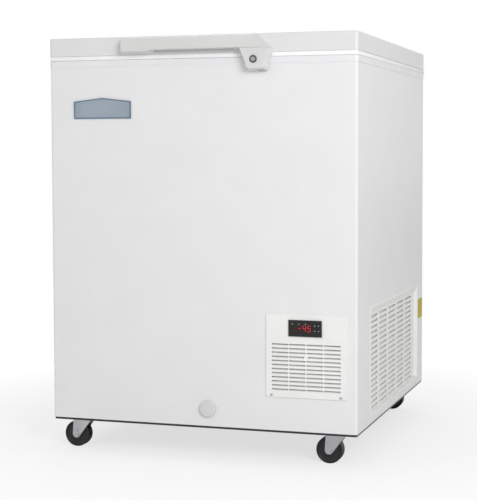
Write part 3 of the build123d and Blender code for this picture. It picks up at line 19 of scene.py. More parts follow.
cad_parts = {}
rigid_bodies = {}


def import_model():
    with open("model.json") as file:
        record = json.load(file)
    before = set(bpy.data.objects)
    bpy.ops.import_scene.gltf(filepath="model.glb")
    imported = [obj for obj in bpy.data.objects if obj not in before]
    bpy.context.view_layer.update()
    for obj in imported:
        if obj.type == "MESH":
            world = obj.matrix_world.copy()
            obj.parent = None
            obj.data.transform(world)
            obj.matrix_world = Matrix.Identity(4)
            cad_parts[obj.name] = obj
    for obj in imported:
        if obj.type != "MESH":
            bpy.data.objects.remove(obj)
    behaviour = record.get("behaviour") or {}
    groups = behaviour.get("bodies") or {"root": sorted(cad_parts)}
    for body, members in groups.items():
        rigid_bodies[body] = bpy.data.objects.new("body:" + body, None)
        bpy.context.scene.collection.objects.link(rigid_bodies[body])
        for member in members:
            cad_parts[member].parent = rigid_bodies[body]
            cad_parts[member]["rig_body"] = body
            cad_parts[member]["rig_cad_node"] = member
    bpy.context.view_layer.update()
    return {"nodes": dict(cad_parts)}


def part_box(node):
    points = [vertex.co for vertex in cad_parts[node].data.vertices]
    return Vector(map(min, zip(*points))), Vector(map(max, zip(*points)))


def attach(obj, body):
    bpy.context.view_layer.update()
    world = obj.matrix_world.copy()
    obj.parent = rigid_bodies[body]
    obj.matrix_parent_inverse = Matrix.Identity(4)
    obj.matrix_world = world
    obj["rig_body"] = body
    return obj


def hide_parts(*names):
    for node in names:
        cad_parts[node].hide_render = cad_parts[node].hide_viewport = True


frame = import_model()

LOG = logging.getLogger("freezer")
MM = 0.001
IMAGE_HEIGHT_PX = 500
SENSOR_MM = 36.0

Point = tuple[float, float, float]

# Shares of the noise at which a patch is all dark and all light
PATCH_DARK = 0.35
PATCH_LIGHT = 0.65
# Soft patches of slightly different tone, about a hand's breadth across
PATCH_MM = 90.0
# How far the roughness strays from its middle value, as a share of it
POLISH_SPREAD = 0.08
# Roughness of a clear coat
COAT_ROUGHNESS = 0.12
# Stretch of a pattern along and across the marks of brushing and of drawing
BRUSHED_STRETCH = (0.02, 1.0, 1.0)
DRAWN_STRETCH = (1.0, 1.0, 0.04)
EVEN_STRETCH = (1.0, 1.0, 1.0)
# Octaves of the noise on plain and on moulded surfaces, and how strong the fine ones are
SOFT_DETAIL = 2.0
MOULDED_DETAIL = 4.0
NOISE_ROUGHNESS = 0.55

# Points nearer to each other than this are one point, and flatter edges than this go
WELD = 0.005 * MM
FLAT_DEGREES = 0.5
# How much sharper than a rounded edge an edge may be and still be shaded smooth
SMOOTH_DEGREES = 5.0
# Faces across a rounding that the eye sees from near
SOFT_SEGMENTS = 4


# Colour and materials


def linear(code: str) -> tuple[float, float, float, float]:
    """Turn an sRGB hex colour into the linear colour that Blender's sockets take.

    Args:
        code: Colour such as "#D8DADC".

    Returns:
        Red, green, blue and an alpha of 1.
    """
    channels = []
    for start in (1, 3, 5):
        value = int(code[start:start + 2], 16) / 255
        channels.append(value / 12.92 if value <= 0.04045 else ((value + 0.055) / 1.055) ** 2.4)
    return channels[0], channels[1], channels[2], 1.0


def add_node(
    tree: bpy.types.NodeTree,
    kind: str,
    settings: dict[str | int, object] | None = None,
    links: dict[str | int, bpy.types.NodeSocket] | None = None,
) -> bpy.types.Node:
    """Add a node with its settings and links.

    Args:
        tree: Node tree that gets the node.
        kind: Blender's name for the node type.
        settings: Values by socket name, socket number or property name.
        links: Output sockets by the input name or number that each feeds.

    Returns:
        The new node.
    """
    node = tree.nodes.new(kind)
    for key, value in (settings or {}).items():
        if isinstance(key, int) or key in node.inputs:
            node.inputs[key].default_value = value
        else:
            setattr(node, key, value)
    for key, source in (links or {}).items():
        tree.links.new(source, node.inputs[key])
    return node


class Grain(Enum):
    """What the eye finds on a surface up close."""

    ORANGE_PEEL = "orange peel"
    MOULDED = "moulded texture"
    BRUSHED = "brushed"
    SPANGLE = "zinc spangle"
    DRAWN = "drawn"
    CELLS = "foam cells"


@dataclass(frozen=True)
class Finish:
    """A surface, from its common name to the numbers of its shader.

    Attributes:
        name: Common name of the material and how its surface was made.
        light: The lighter of its two sRGB colours.
        dark: The darker one; the two are mixed in soft patches.
        roughness: Middle value of the roughness.
        grain: Kind of fine relief.
        grain_mm: Size of that relief in millimetres.
        relief_mm: Height of that relief in millimetres.
        metallic: 1 for bare metal and 0 for everything else.
        ior: Index of refraction.
        coat: Weight of a clear coat.
        glow: Strength of its own light.
    """

    name: str
    light: str
    dark: str
    roughness: float
    grain: Grain
    grain_mm: float
    relief_mm: float
    metallic: float = 0.0
    ior: float = 1.5
    coat: float = 0.0
    glow: float = 0.0

    def material(self) -> bpy.types.Material:
        """Build the node material once and give the same one after that."""
        known = bpy.data.materials.get(self.name)
        if known:
            return known
        material = bpy.data.materials.new(self.name)
        material.use_nodes = True
        tree = material.node_tree
        tree.nodes.clear()
        place = add_node(tree, "ShaderNodeTexCoord").outputs["Object"]
        patches = add_node(
            tree,
            "ShaderNodeTexNoise",
            {"Scale": 1 / (PATCH_MM * MM), "Detail": SOFT_DETAIL},
            {"Vector": place},
        )
        tint = add_node(tree, "ShaderNodeValToRGB", {}, {"Fac": patches.outputs["Fac"]})
        tint.color_ramp.elements[0].position = PATCH_DARK
        tint.color_ramp.elements[0].color = linear(self.dark)
        tint.color_ramp.elements[1].position = PATCH_LIGHT
        tint.color_ramp.elements[1].color = linear(self.light)
        height = self.relief(tree, place)
        bump = add_node(
            tree,
            "ShaderNodeBump",
            {"Strength": 1.0, "Distance": self.relief_mm * MM},
            {"Height": height},
        )
        polish = add_node(
            tree,
            "ShaderNodeMapRange",
            {
                "To Min": self.roughness * (1 - POLISH_SPREAD),
                "To Max": min(1.0, self.roughness * (1 + POLISH_SPREAD)),
            },
            {"Value": height},
        )
        settings = {
            "Metallic": self.metallic,
            "IOR": self.ior,
            "Coat Weight": self.coat,
            "Coat Roughness": COAT_ROUGHNESS,
        }
        if self.glow:
            settings["Emission Color"] = linear(self.light)
            settings["Emission Strength"] = self.glow
        shader = add_node(
            tree,
            "ShaderNodeBsdfPrincipled",
            settings,
            {
                "Base Color": tint.outputs["Color"],
                "Roughness": polish.outputs["Result"],
                "Normal": bump.outputs["Normal"],
            },
        )
        add_node(tree, "ShaderNodeOutputMaterial", {}, {"Surface": shader.outputs["BSDF"]})
        return material

    def relief(
        self, tree: bpy.types.NodeTree, place: bpy.types.NodeSocket
    ) -> bpy.types.NodeSocket:
        """Add the pattern of the fine relief.

        Args:
            tree: The material's node tree.
            place: Object coordinates.

        Returns:
            The socket that gives the height, from 0 to 1.
        """
        scale = 1 / (self.grain_mm * MM)
        if self.grain in (Grain.SPANGLE, Grain.CELLS):
            cells = add_node(
                tree, "ShaderNodeTexVoronoi", {"Scale": scale, "Randomness": 1.0}, {"Vector": place}
            )
            socket = "Color" if self.grain is Grain.SPANGLE else "Distance"
            return cells.outputs[socket]
        stretch = {Grain.BRUSHED: BRUSHED_STRETCH, Grain.DRAWN: DRAWN_STRETCH}
        turned = add_node(
            tree,
            "ShaderNodeMapping",
            {"Scale": stretch.get(self.grain, EVEN_STRETCH)},
            {"Vector": place},
        )
        detail = MOULDED_DETAIL if self.grain is Grain.MOULDED else SOFT_DETAIL
        noise = add_node(
            tree,
            "ShaderNodeTexNoise",
            {"Scale": scale, "Detail": detail, "Roughness": NOISE_ROUGHNESS},
            {"Vector": turned.outputs["Vector"]},
        )
        return noise.outputs["Fac"]


# Powder-coated steel sheet: a clean white skin with faint orange peel and a broad soft gloss
POWDER_COAT = Finish(
    "powder_coated_steel_white", "#E0E0E1", "#DEDEDF", 0.36, Grain.ORANGE_PEEL, 1.8, 0.02
)
# The same powder coat on the lid, painted a shade darker to stand for the shade that falls on the lid
LID_COAT_PAINTED_SHADE = Finish(
    "powder_coated_steel_white_painted_shade", "#D8D8D9", "#D6D6D7", 0.36, Grain.ORANGE_PEEL, 1.8, 0.02
)
# Injection-moulded ABS: a slightly warmer white, darkened with painted shade for the handle's
# downward-tilted face, with a fine spark-eroded texture
ABS_WHITE_PAINTED_SHADE = Finish("moulded_abs_white_painted_shade", "#CFCFCE", "#CCCCCB", 0.42, Grain.MOULDED, 0.8, 0.015)
# Extruded PVC of the collar: a cooler, bluish white and a smooth sheen
PVC_COLLAR = Finish("extruded_pvc_cool_white", "#E0E0E2", "#DDDDDF", 0.4, Grain.DRAWN, 1.2, 0.01)
# Moulded ABS of the grilles: warm white, matt
ABS_GRILLE = Finish("moulded_abs_warm_white", "#E6E6E4", "#E3E3E0", 0.45, Grain.MOULDED, 0.8, 0.015)
# Thermoformed polystyrene of the lid's underside: glossy, with a faint ripple
HIPS_LINER = Finish("thermoformed_polystyrene", "#EEEFF0", "#EAEBED", 0.22, Grain.MOULDED, 14.0, 0.05)
# Soft PVC gasket: matt, pale grey
PVC_GASKET = Finish("soft_pvc_gasket", "#F0F0F0", "#ECECEC", 0.6, Grain.DRAWN, 1.0, 0.02)
# Stucco-embossed aluminium sheet of the tub: bright, broken up by its pebbled relief
STUCCO_ALUMINIUM = Finish(
    "stucco_embossed_aluminium", "#D2D4D6", "#C6C8CA", 0.38, Grain.MOULDED, 5.0, 0.35, metallic=1.0
)
# Hot-dip galvanised sheet: grey, with the large dull crystals of the zinc
GALVANISED = Finish(
    "galvanised_sheet_steel", "#B5B8BB", "#A6A9AC", 0.42, Grain.SPANGLE, 16.0, 0.01, metallic=1.0
)
# Bright zinc plating on pressed and turned steel: cool silver with soft reflections
ZINC_PLATE = Finish(
    "zinc_plated_steel", "#C4C5C8", "#B4B5B9", 0.34, Grain.MOULDED, 2.5, 0.02, metallic=1.0
)
# Dark nickel plating of the lock: smoky metal
DARK_NICKEL = Finish(
    "dark_nickel_plate", "#6A6A6E", "#525257", 0.3, Grain.DRAWN, 0.6, 0.005, metallic=1.0
)
# Aluminium fins of the condenser: thin rolled foil, brushed along its length
FIN_FOIL = Finish(
    "rolled_aluminium_foil", "#C9CBCD", "#B7B9BB", 0.4, Grain.BRUSHED, 1.0, 0.02, metallic=1.0
)
# Drawn copper tube, slightly tarnished
COPPER = Finish("drawn_copper_tube", "#C88466", "#A8664A", 0.35, Grain.DRAWN, 1.0, 0.02, metallic=1.0)
# Black stoved enamel on the compressor, base and motor
BLACK_ENAMEL = Finish(
    "stoved_enamel_black", "#1C1C1E", "#141416", 0.4, Grain.ORANGE_PEEL, 1.6, 0.03, coat=0.2
)
# Black polycarbonate of the controller: glossy, with a faint texture
BLACK_PC = Finish("moulded_polycarbonate_black", "#121214", "#0B0B0D", 0.24, Grain.MOULDED, 0.6, 0.01)
# Black nylon of small fittings
BLACK_NYLON = Finish("moulded_nylon_black", "#1A1A1B", "#121213", 0.5, Grain.MOULDED, 0.8, 0.02)
# Smoked acrylic window: nearly black, very glossy, with a red cast
SMOKED_ACRYLIC = Finish("smoked_acrylic_red", "#170608", "#120406", 0.08, Grain.MOULDED, 8.0, 0.001)
# Rubber of the compressor feet: dull black
RUBBER = Finish("vulcanised_rubber", "#1B1B1B", "#131313", 0.75, Grain.MOULDED, 1.5, 0.04)
# Hard polypropylene of the caster wheels: near black with a low sheen
BLACK_PP = Finish("moulded_polypropylene_black", "#0F0F10", "#09090A", 0.42, Grain.MOULDED, 1.2, 0.03)
# Lacquered aluminium of the plate: slate blue with a brushed grain under a clear coat
SLATE_PLATE = Finish(
    "lacquered_aluminium_slate", "#929DA9", "#8893A0", 0.3, Grain.BRUSHED, 1.2, 0.01, coat=0.4
)
# Edge and rim of the same plate, darker
SLATE_EDGE = Finish("lacquered_aluminium_dark_slate", "#5F7689", "#566C7F", 0.35, Grain.BRUSHED, 1.2, 0.01)
# Polyurethane foam, pale yellow with small cells
PU_FOAM = Finish("polyurethane_foam", "#E6DDB4", "#D6CB98", 0.9, Grain.CELLS, 1.5, 0.3)
# Matt vinyl film of the blank sticker
VINYL_FILM = Finish("matt_vinyl_film_mustard", "#B8A800", "#AC9C00", 0.5, Grain.MOULDED, 2.0, 0.005)
# Light-emitting segments of the display
LED_RED = Finish("led_segment_red", "#F01020", "#E00818", 0.4, Grain.MOULDED, 1.0, 0.001, glow=1.2)
# Pale ink of the symbols on the keys and in the window
KEY_INK = Finish("screen_printed_ink_grey", "#B9BCC0", "#ACAFB4", 0.6, Grain.MOULDED, 1.0, 0.001)


# Work on meshes


def deselect() -> None:
    """Leave nothing selected."""
    bpy.ops.object.select_all(action="DESELECT")


def pick(piece: bpy.types.Object) -> None:
    """Make one object the only selected one, and the active one."""
    deselect()
    piece.select_set(True)
    bpy.context.view_layer.objects.active = piece


def edit(piece: bpy.types.Object) -> None:
    """Open one object in edit mode."""
    pick(piece)
    bpy.ops.object.mode_set(mode="EDIT")


def leave_edit() -> None:
    """Close edit mode."""
    bpy.ops.object.mode_set(mode="OBJECT")


def pick_faces(piece: bpy.types.Object, test: Callable[[bmesh.types.BMFace], bool]) -> None:
    """Select, in edit mode, the faces that pass a test and no others.

    Args:
        piece: The object that is open in edit mode.
        test: Says of a face whether it is wanted.
    """
    bpy.ops.mesh.select_mode(type="FACE")
    bpy.ops.mesh.select_all(action="DESELECT")
    shape = bmesh.from_edit_mesh(piece.data)
    for face in shape.faces:
        if test(face):
            face.select_set(True)
    shape.select_flush_mode()
    bmesh.update_edit_mesh(piece.data)


def facing(direction: Point, part: float = 0.9) -> Callable[[bmesh.types.BMFace], bool]:
    """Make a test for faces that look in a direction.

    Args:
        direction: Unit vector.
        part: Least share of the normal that points that way.

    Returns:
        A test for pick_faces.
    """
    aim = Vector(direction)
    return lambda face: face.normal.dot(aim) > part


def extrude(shift: Point) -> None:
    """Extrude the selected faces by a vector, in edit mode."""
    bpy.ops.mesh.extrude_region_move(TRANSFORM_OT_translate={"value": shift})


def settle(piece: bpy.types.Object, name: str) -> bpy.types.Object:
    """Name a piece and put its place, turn and size into its mesh.

    Args:
        piece: The object to settle.
        name: Its name.

    Returns:
        The same object.
    """
    pick(piece)
    bpy.ops.object.transform_apply(location=True, rotation=True, scale=True)
    piece.name = name
    piece.data.name = name
    return piece


def round_edges(
    piece: bpy.types.Object, width: float, segments: int = 3, angle: float = 30.0
) -> None:
    """Round the sharp edges of a piece and shade it smooth between them.

    Args:
        piece: The object.
        width: Width of the rounding in metres.
        segments: Number of faces across it.
        angle: Least angle, in degrees, that counts as sharp.
    """
    pick(piece)
    bevel = piece.modifiers.new("rounding", "BEVEL")
    bevel.width = width
    bevel.segments = segments
    bevel.limit_method = "ANGLE"
    bevel.angle_limit = math.radians(angle)
    bpy.ops.object.modifier_apply(modifier=bevel.name)
    bpy.ops.object.shade_smooth_by_angle(angle=math.radians(angle + SMOOTH_DEGREES))


def eased_copy(node: str, width: float, name: str, segments: int = 3) -> bpy.types.Object:
    """Copy a CAD node, join its flat faces and round its edges.

    Args:
        node: Name of the CAD node, which the copy replaces.
        width: Width of the rounding in metres.
        name: Name of the copy.
        segments: Number of faces across the rounding.

    Returns:
        The copy, settled.
    """
    source = frame["nodes"][node]
    piece = source.copy()
    piece.data = source.data.copy()
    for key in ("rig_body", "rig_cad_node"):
        if key in piece:
            del piece[key]
    piece.parent = None
    bpy.context.scene.collection.objects.link(piece)
    edit(piece)
    bpy.ops.mesh.select_all(action="SELECT")
    bpy.ops.mesh.remove_doubles(threshold=WELD)
    bpy.ops.mesh.dissolve_limited(angle_limit=math.radians(FLAT_DEGREES))
    leave_edit()
    bpy.ops.mesh.customdata_custom_splitnormals_clear()
    round_edges(piece, width, segments)
    return settle(piece, name)


def copy_to(piece: bpy.types.Object, shift: Sequence[float], name: str) -> bpy.types.Object:
    """Copy a piece with a mesh of its own.

    Args:
        piece: The object to copy, settled at the origin.
        shift: How far the copy stands from it, in metres.
        name: Name of the copy.

    Returns:
        The copy.
    """
    twin = piece.copy()
    twin.data = piece.data.copy()
    twin.data.transform(Matrix.Translation(Vector(shift)))
    twin.name = name
    twin.data.name = name
    bpy.context.scene.collection.objects.link(twin)
    return twin


def join(pieces: Sequence[bpy.types.Object], name: str) -> bpy.types.Object:
    """Join pieces into one object.

    Args:
        pieces: The objects, settled.
        name: Name of the result.

    Returns:
        The joined object.
    """
    deselect()
    for piece in pieces:
        piece.select_set(True)
    bpy.context.view_layer.objects.active = pieces[0]
    bpy.ops.object.join()
    return settle(pieces[0], name)


def add_block(centre: Sequence[float], size: Sequence[float]) -> bpy.types.Object:
    """Add a block to be shaped further, and return it settled."""
    deselect()
    bpy.ops.mesh.primitive_cube_add(size=1.0, location=centre, scale=size)
    return settle(bpy.context.object, "block")


def add_disc(
    centre: Sequence[float], radius: float, depth: float, axis: str = "Y", sides: int = 48
) -> bpy.types.Object:
    """Add a round or many-sided disc to be shaped further.

    Args:
        centre: Its middle.
        radius: Its radius to the corners.
        depth: Its thickness.
        axis: Direction of its axis: "X", "Y" or "Z".
        sides: Number of its sides.

    Returns:
        The disc, settled.
    """
    turns = {
        "X": (0.0, math.pi / 2, 0.0),
        "Y": (math.pi / 2, 0.0, 0.0),
        "Z": (0.0, 0.0, 0.0),
    }
    deselect()
    bpy.ops.mesh.primitive_cylinder_add(
        vertices=sides, radius=radius, depth=depth, location=centre, rotation=turns[axis]
    )
    return settle(bpy.context.object, "disc")


def carve(piece: bpy.types.Object, cutter: bpy.types.Object) -> None:
    """Cut a shape out of a piece and delete that shape."""
    cut = piece.modifiers.new("cut", "BOOLEAN")
    cut.object = cutter
    cut.operation = "DIFFERENCE"
    pick(piece)
    bpy.ops.object.modifier_apply(modifier=cut.name)
    bpy.data.objects.remove(cutter)


def dress(piece: bpy.types.Object, finish: Finish) -> None:
    """Give a piece one material in place of what it has."""
    if piece.material_slots:
        for slot in piece.material_slots:
            slot.material = finish.material()
    else:
        piece.data.materials.append(finish.material())


def place_on(
    piece: bpy.types.Object,
    body: str,
    finish: Finish,
    replaced: Iterable[str] = (),
) -> bpy.types.Object:
    """Dress a piece and tie it to the frame.

    Args:
        piece: The finished object.
        body: CAD body that it moves with.
        finish: Its material.
        replaced: CAD nodes that it stands for.

    Returns:
        The same object.
    """
    dress(piece, finish)
    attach(piece, body)
    if replaced:
        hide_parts(*replaced)
    LOG.info("%s rides on %s", piece.name, body)
    return piece


def centre_of(node: str) -> Vector:
    """Middle of a CAD node's box."""
    low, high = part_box(node)
    return (low + high) / 2


# Sub-assemblies


@dataclass
class Cabinet:
    """Wrap, back, tub, insulation, collar and base."""

    sticker_width: float = 58 * MM
    sticker_low: float = 246 * MM
    sticker_height: float = 51 * MM
    sticker_sheet: float = 0.2 * MM
    corner_radius: float = 18 * MM
    wrap_angle: float = 55.0
    wrap_steps: int = 10
    skin_finishes: dict[str, Finish] = field(
        default_factory=lambda: {
            "outer_shell": POWDER_COAT,
            "back_panel": GALVANISED,
            "rear_cover": GALVANISED,
            "cord_gland": BLACK_NYLON,
            "inner_liner": STUCCO_ALUMINIUM,
            "drain_pipe": ABS_WHITE_PAINTED_SHADE,
            "insulation_foam": PU_FOAM,
            "compartment_liner": GALVANISED,
            "top_frame": PVC_COLLAR,
            "base_frame": BLACK_ENAMEL,
            "lock_strike": ZINC_PLATE,
        }
    )

    def build(self) -> None:
        """Dress the nodes and add the blank sticker."""
        for node, finish in self.skin_finishes.items():
            dress(frame["nodes"][node], finish)
        self.build_sticker()

    def build_sticker(self) -> None:
        """Blank mustard sticker on the right side that runs round the rear corner."""
        low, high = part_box("outer_shell")
        corner = Vector((high.x - self.corner_radius, high.y - self.corner_radius, 0.0))
        middle_z = self.sticker_low + self.sticker_height / 2
        centre = (high.x, corner.y - self.sticker_width / 2, middle_z)
        deselect()
        bpy.ops.mesh.primitive_plane_add(size=1.0, location=centre, rotation=(0.0, math.pi / 2, 0.0))
        sticker = settle(bpy.context.object, "blank_sticker")
        edit(sticker)
        bpy.ops.mesh.select_all(action="SELECT")
        bpy.ops.transform.resize(
            value=(1.0, self.sticker_width, self.sticker_height), center_override=centre
        )
        bpy.ops.mesh.select_mode(type="EDGE")
        bpy.ops.mesh.select_all(action="DESELECT")
        shape = bmesh.from_edit_mesh(sticker.data)
        for edge in shape.edges:
            if all(abs(vertex.co.y - corner.y) < MM for vertex in edge.verts):
                edge.select_set(True)
        bmesh.update_edit_mesh(sticker.data)
        bpy.ops.mesh.spin(
            steps=self.wrap_steps,
            angle=math.radians(self.wrap_angle),
            center=(corner.x, corner.y, middle_z),
            axis=(0.0, 0.0, 1.0),
        )
        bpy.ops.mesh.select_all(action="SELECT")
        bpy.ops.mesh.remove_doubles(threshold=WELD)
        bpy.ops.mesh.normals_make_consistent(inside=False)
        leave_edit()
        film = sticker.modifiers.new("film", "SOLIDIFY")
        film.thickness = self.sticker_sheet
        film.offset = 0.0
        pick(sticker)
        bpy.ops.object.modifier_apply(modifier=film.name)
        place_on(sticker, "cabinet", VINYL_FILM)


@dataclass
class Lid:
    """Lid tray, liner, foam, gasket, handle and lock."""

    handle_rounding: float = 2.2 * MM
    cover_rounding: float = 1.6 * MM
    metal_rounding: float = 0.4 * MM
    seal_inset: float = 1.0 * MM
    seal_width: float = 22.0 * MM
    seal_rounding: float = 1.2 * MM
    node_finishes: dict[str, Finish] = field(
        default_factory=lambda: {
            # The lid's coat carries painted shade: it is darker than the cabinet's coat
            "lid_shell": LID_COAT_PAINTED_SHADE,
            "lid_liner": HIPS_LINER,
            "lid_foam": PU_FOAM,
            "lock_cam": ZINC_PLATE,
        }
    )

    def build(self) -> None:
        """Dress the nodes and build the handle and the lock."""
        for node, finish in self.node_finishes.items():
            dress(frame["nodes"][node], finish)
        # The handle's white carries painted shade: it is darker than the lid
        handle = eased_copy("handle", self.handle_rounding, "handle_moulding", SOFT_SEGMENTS)
        place_on(handle, "lid", ABS_WHITE_PAINTED_SHADE, ["handle"])
        cover = eased_copy("lock_cover", self.cover_rounding, "lock_cover_moulding", SOFT_SEGMENTS)
        place_on(cover, "lid", ABS_WHITE_PAINTED_SHADE, ["lock_cover"])
        barrel = eased_copy("lock_barrel", self.metal_rounding, "lock_barrel_ring")
        place_on(barrel, "lid", DARK_NICKEL, ["lock_barrel"])
        plug = eased_copy("lock_plug", self.metal_rounding / 2, "lock_plug_face")
        place_on(plug, "lock", ZINC_PLATE, ["lock_plug"])
        self.build_seal()

    def build_seal(self) -> None:
        """Soft ring that fills the gap between lid and collar almost to the lid's skirt."""
        low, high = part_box("lid_gasket")
        lid_low, lid_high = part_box("lid_shell")
        middle = (lid_low + lid_high) / 2
        middle.z = (low.z + high.z) / 2
        size = lid_high - lid_low - Vector((2, 2, 0)) * self.seal_inset
        size.z = high.z - low.z
        seal = add_block(middle, size)
        hole = add_block(middle, size - Vector((2, 2, -2)) * self.seal_width)
        carve(seal, hole)
        round_edges(seal, self.seal_rounding)
        place_on(settle(seal, "gasket_seal"), "lid", PVC_GASKET, ["lid_gasket"])


@dataclass
class ControlPanel:
    """Front panel with its screws, and the temperature controller."""

    filter_margin: float = 12.0 * MM
    filter_sheet: float = 1.0 * MM
    screw_head: float = 3.0 * MM
    screw_rise: float = 1.8 * MM
    recess_depth: float = 0.8 * MM
    recess_width: float = 0.9 * MM
    recess_length: float = 3.6 * MM
    head_rounding: float = 1.08 * MM
    screw_sides: int = 32
    case_rounding: float = 0.5 * MM
    digit_height: float = 14.5 * MM
    digit_width: float = 8.0 * MM
    digit_pitch: float = 11.0 * MM
    bar: float = 1.7 * MM
    bar_rise: float = 0.12 * MM
    digit_centre: float = 36.0 * MM
    slant: float = 0.12
    bar_point: float = 0.3
    bar_overlap: float = 0.3
    minus_share: float = 0.8
    mark_rim: float = 0.35
    mark_sink: float = 0.6
    mark_small: float = 1.5 * MM
    mark_large: float = 1.7 * MM
    ring_sides: int = 24
    lamp_radius: float = 1.0 * MM
    lamp_drop: float = 2.2 * MM
    lamp_sides: int = 6
    lamp_shares: tuple[float, ...] = (0.1, 0.42, 0.74)

    def build(self) -> None:
        """Dress the nodes and build the screws, the reading and the marks."""
        dress(frame["nodes"]["control_panel"], ABS_GRILLE)
        case = eased_copy("controller_case", self.case_rounding, "controller_housing")
        place_on(case, "cabinet", BLACK_PC, ["controller_case"])
        dress(frame["nodes"]["display_window"], SMOKED_ACRYLIC)
        for key in ("key_power", "key_up", "key_set", "key_down"):
            dress(frame["nodes"][key], BLACK_NYLON)
        self.build_filter()
        self.build_screws()
        self.build_reading()
        self.build_marks()

    def build_filter(self) -> None:
        """Pale dust filter behind the louvres."""
        low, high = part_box("control_panel")
        middle = (low + high) / 2
        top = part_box("controller_case")[0].z - self.filter_margin
        bottom = low.z + self.filter_margin
        centre = (middle.x, high.y + self.filter_sheet, (top + bottom) / 2)
        size = (high.x - low.x - 2 * self.filter_margin, self.filter_sheet, top - bottom)
        pad = add_block(centre, size)
        place_on(settle(pad, "intake_filter"), "cabinet", ABS_GRILLE)

    def build_screws(self) -> None:
        """Two pan-head screws with cross recesses."""
        low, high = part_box("panel_screws")
        z = (low.z + high.z) / 2
        radius = (high.z - low.z) / 2
        places = [low.x + radius, high.x - radius]
        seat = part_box("control_panel")[0].y
        head = add_disc(
            (places[0], seat - self.screw_rise / 2, z),
            self.screw_head,
            self.screw_rise,
            sides=self.screw_sides,
        )
        round_edges(head, self.head_rounding, segments=SOFT_SEGMENTS)
        recess_cut = self.recess_depth * 2
        for size in (
            (self.recess_length, recess_cut, self.recess_width),
            (self.recess_width, recess_cut, self.recess_length),
        ):
            carve(head, add_block((places[0], seat - self.screw_rise, z), size))
        settle(head, "panel_screw_left")
        twin = copy_to(head, (places[1] - places[0], 0.0, 0.0), "panel_screw_right")
        place_on(head, "cabinet", ZINC_PLATE, ["panel_screws"])
        place_on(twin, "cabinet", ZINC_PLATE)

    def build_bar(self, x: float, y: float, z: float, length: float, upright: bool) -> bpy.types.Object:
        """One lit bar with pointed ends.

        Args:
            x: Middle across.
            y: Face that it stands on.
            z: Middle height.
            length: Its length.
            upright: True for an upright bar.

        Returns:
            The bar, settled.
        """
        size = (self.bar, self.bar_rise, length) if upright else (length, self.bar_rise, self.bar)
        bar = add_block((x, y - self.bar_rise / 2, z), size)
        edit(bar)
        ends = (0.0, 0.0, 1.0) if upright else (1.0, 0.0, 0.0)
        for sign in (1, -1):
            pick_faces(bar, facing((ends[0] * sign, 0.0, ends[2] * sign)))
            shrink = (self.bar_point, 1.0, 1.0) if upright else (1.0, 1.0, self.bar_point)
            bpy.ops.transform.resize(value=shrink)
        leave_edit()
        return bar

    def build_reading(self) -> None:
        """The reading of -45 in red seven-bar digits, which lean to the right."""
        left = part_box("controller_case")[0].x
        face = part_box("display_window")[0].y
        z = centre_of("display_window").z
        half_w = (self.digit_width - self.bar) / 2
        half_h = (self.digit_height - self.bar) / 2
        level_bars = {"top": 1, "middle": 0, "bottom": -1}
        upright_bars = {
            "upper_left": (-1, 0.5),
            "upper_right": (1, 0.5),
            "lower_left": (-1, -0.5),
            "lower_right": (1, -0.5),
        }
        digits = {
            -1: ("middle",),
            0: ("upper_left", "upper_right", "middle", "lower_right"),
            1: ("top", "upper_left", "middle", "lower_right", "bottom"),
        }
        bars = []
        for column, lit in digits.items():
            x = left + self.digit_centre + column * self.digit_pitch
            for name in lit:
                if name in level_bars:
                    up = level_bars[name] * half_h
                    length = (self.digit_width - self.bar) * (self.minus_share if column < 0 else 1)
                    bars.append(self.build_bar(x + up * self.slant, face, z + up, length, False))
                else:
                    side, up_share = upright_bars[name]
                    up = up_share * half_h
                    length = half_h - self.bar * self.bar_overlap
                    bars.append(
                        self.build_bar(x + side * half_w + up * self.slant, face, z + up, length, True)
                    )
        reading = join(bars, "display_reading")
        place_on(reading, "cabinet", LED_RED)

    def build_marks(self) -> None:
        """Plain symbols on the keys: a ring, two arrows and a square; three small lamps in the window."""
        shapes = {
            "key_power": (self.ring_sides, self.mark_small),
            "key_up": (3, self.mark_large),
            "key_set": (4, self.mark_small),
            "key_down": (3, self.mark_large),
        }
        for key, (sides, radius) in shapes.items():
            low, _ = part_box(key)
            middle = centre_of(key)
            mark = add_disc((middle.x, low.y, middle.z), radius, self.bar_rise, sides=sides)
            if key == "key_down":
                edit(mark)
                bpy.ops.mesh.select_all(action="SELECT")
                bpy.ops.transform.rotate(
                    value=math.pi, orient_axis="Y", center_override=(middle.x, low.y, middle.z)
                )
                leave_edit()
            edit(mark)
            pick_faces(mark, facing((0.0, -1.0, 0.0)))
            bpy.ops.mesh.inset(thickness=radius * self.mark_rim)
            extrude((0.0, self.bar_rise * self.mark_sink, 0.0))
            leave_edit()
            settle(mark, f"{key}_mark")
            place_on(mark, key, KEY_INK)
        low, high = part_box("display_window")
        lamps = []
        for share in self.lamp_shares:
            place = (low.x + share * (high.x - low.x), low.y, high.z - self.lamp_drop)
            lamps.append(add_disc(place, self.lamp_radius, self.bar_rise, sides=self.lamp_sides))
        place_on(join(lamps, "window_lamps"), "cabinet", KEY_INK)


@dataclass
class SideGrille:
    """Slotted grille in the right wall."""

    def build(self) -> None:
        """Dress the node."""
        dress(frame["nodes"]["side_grille"], ABS_GRILLE)


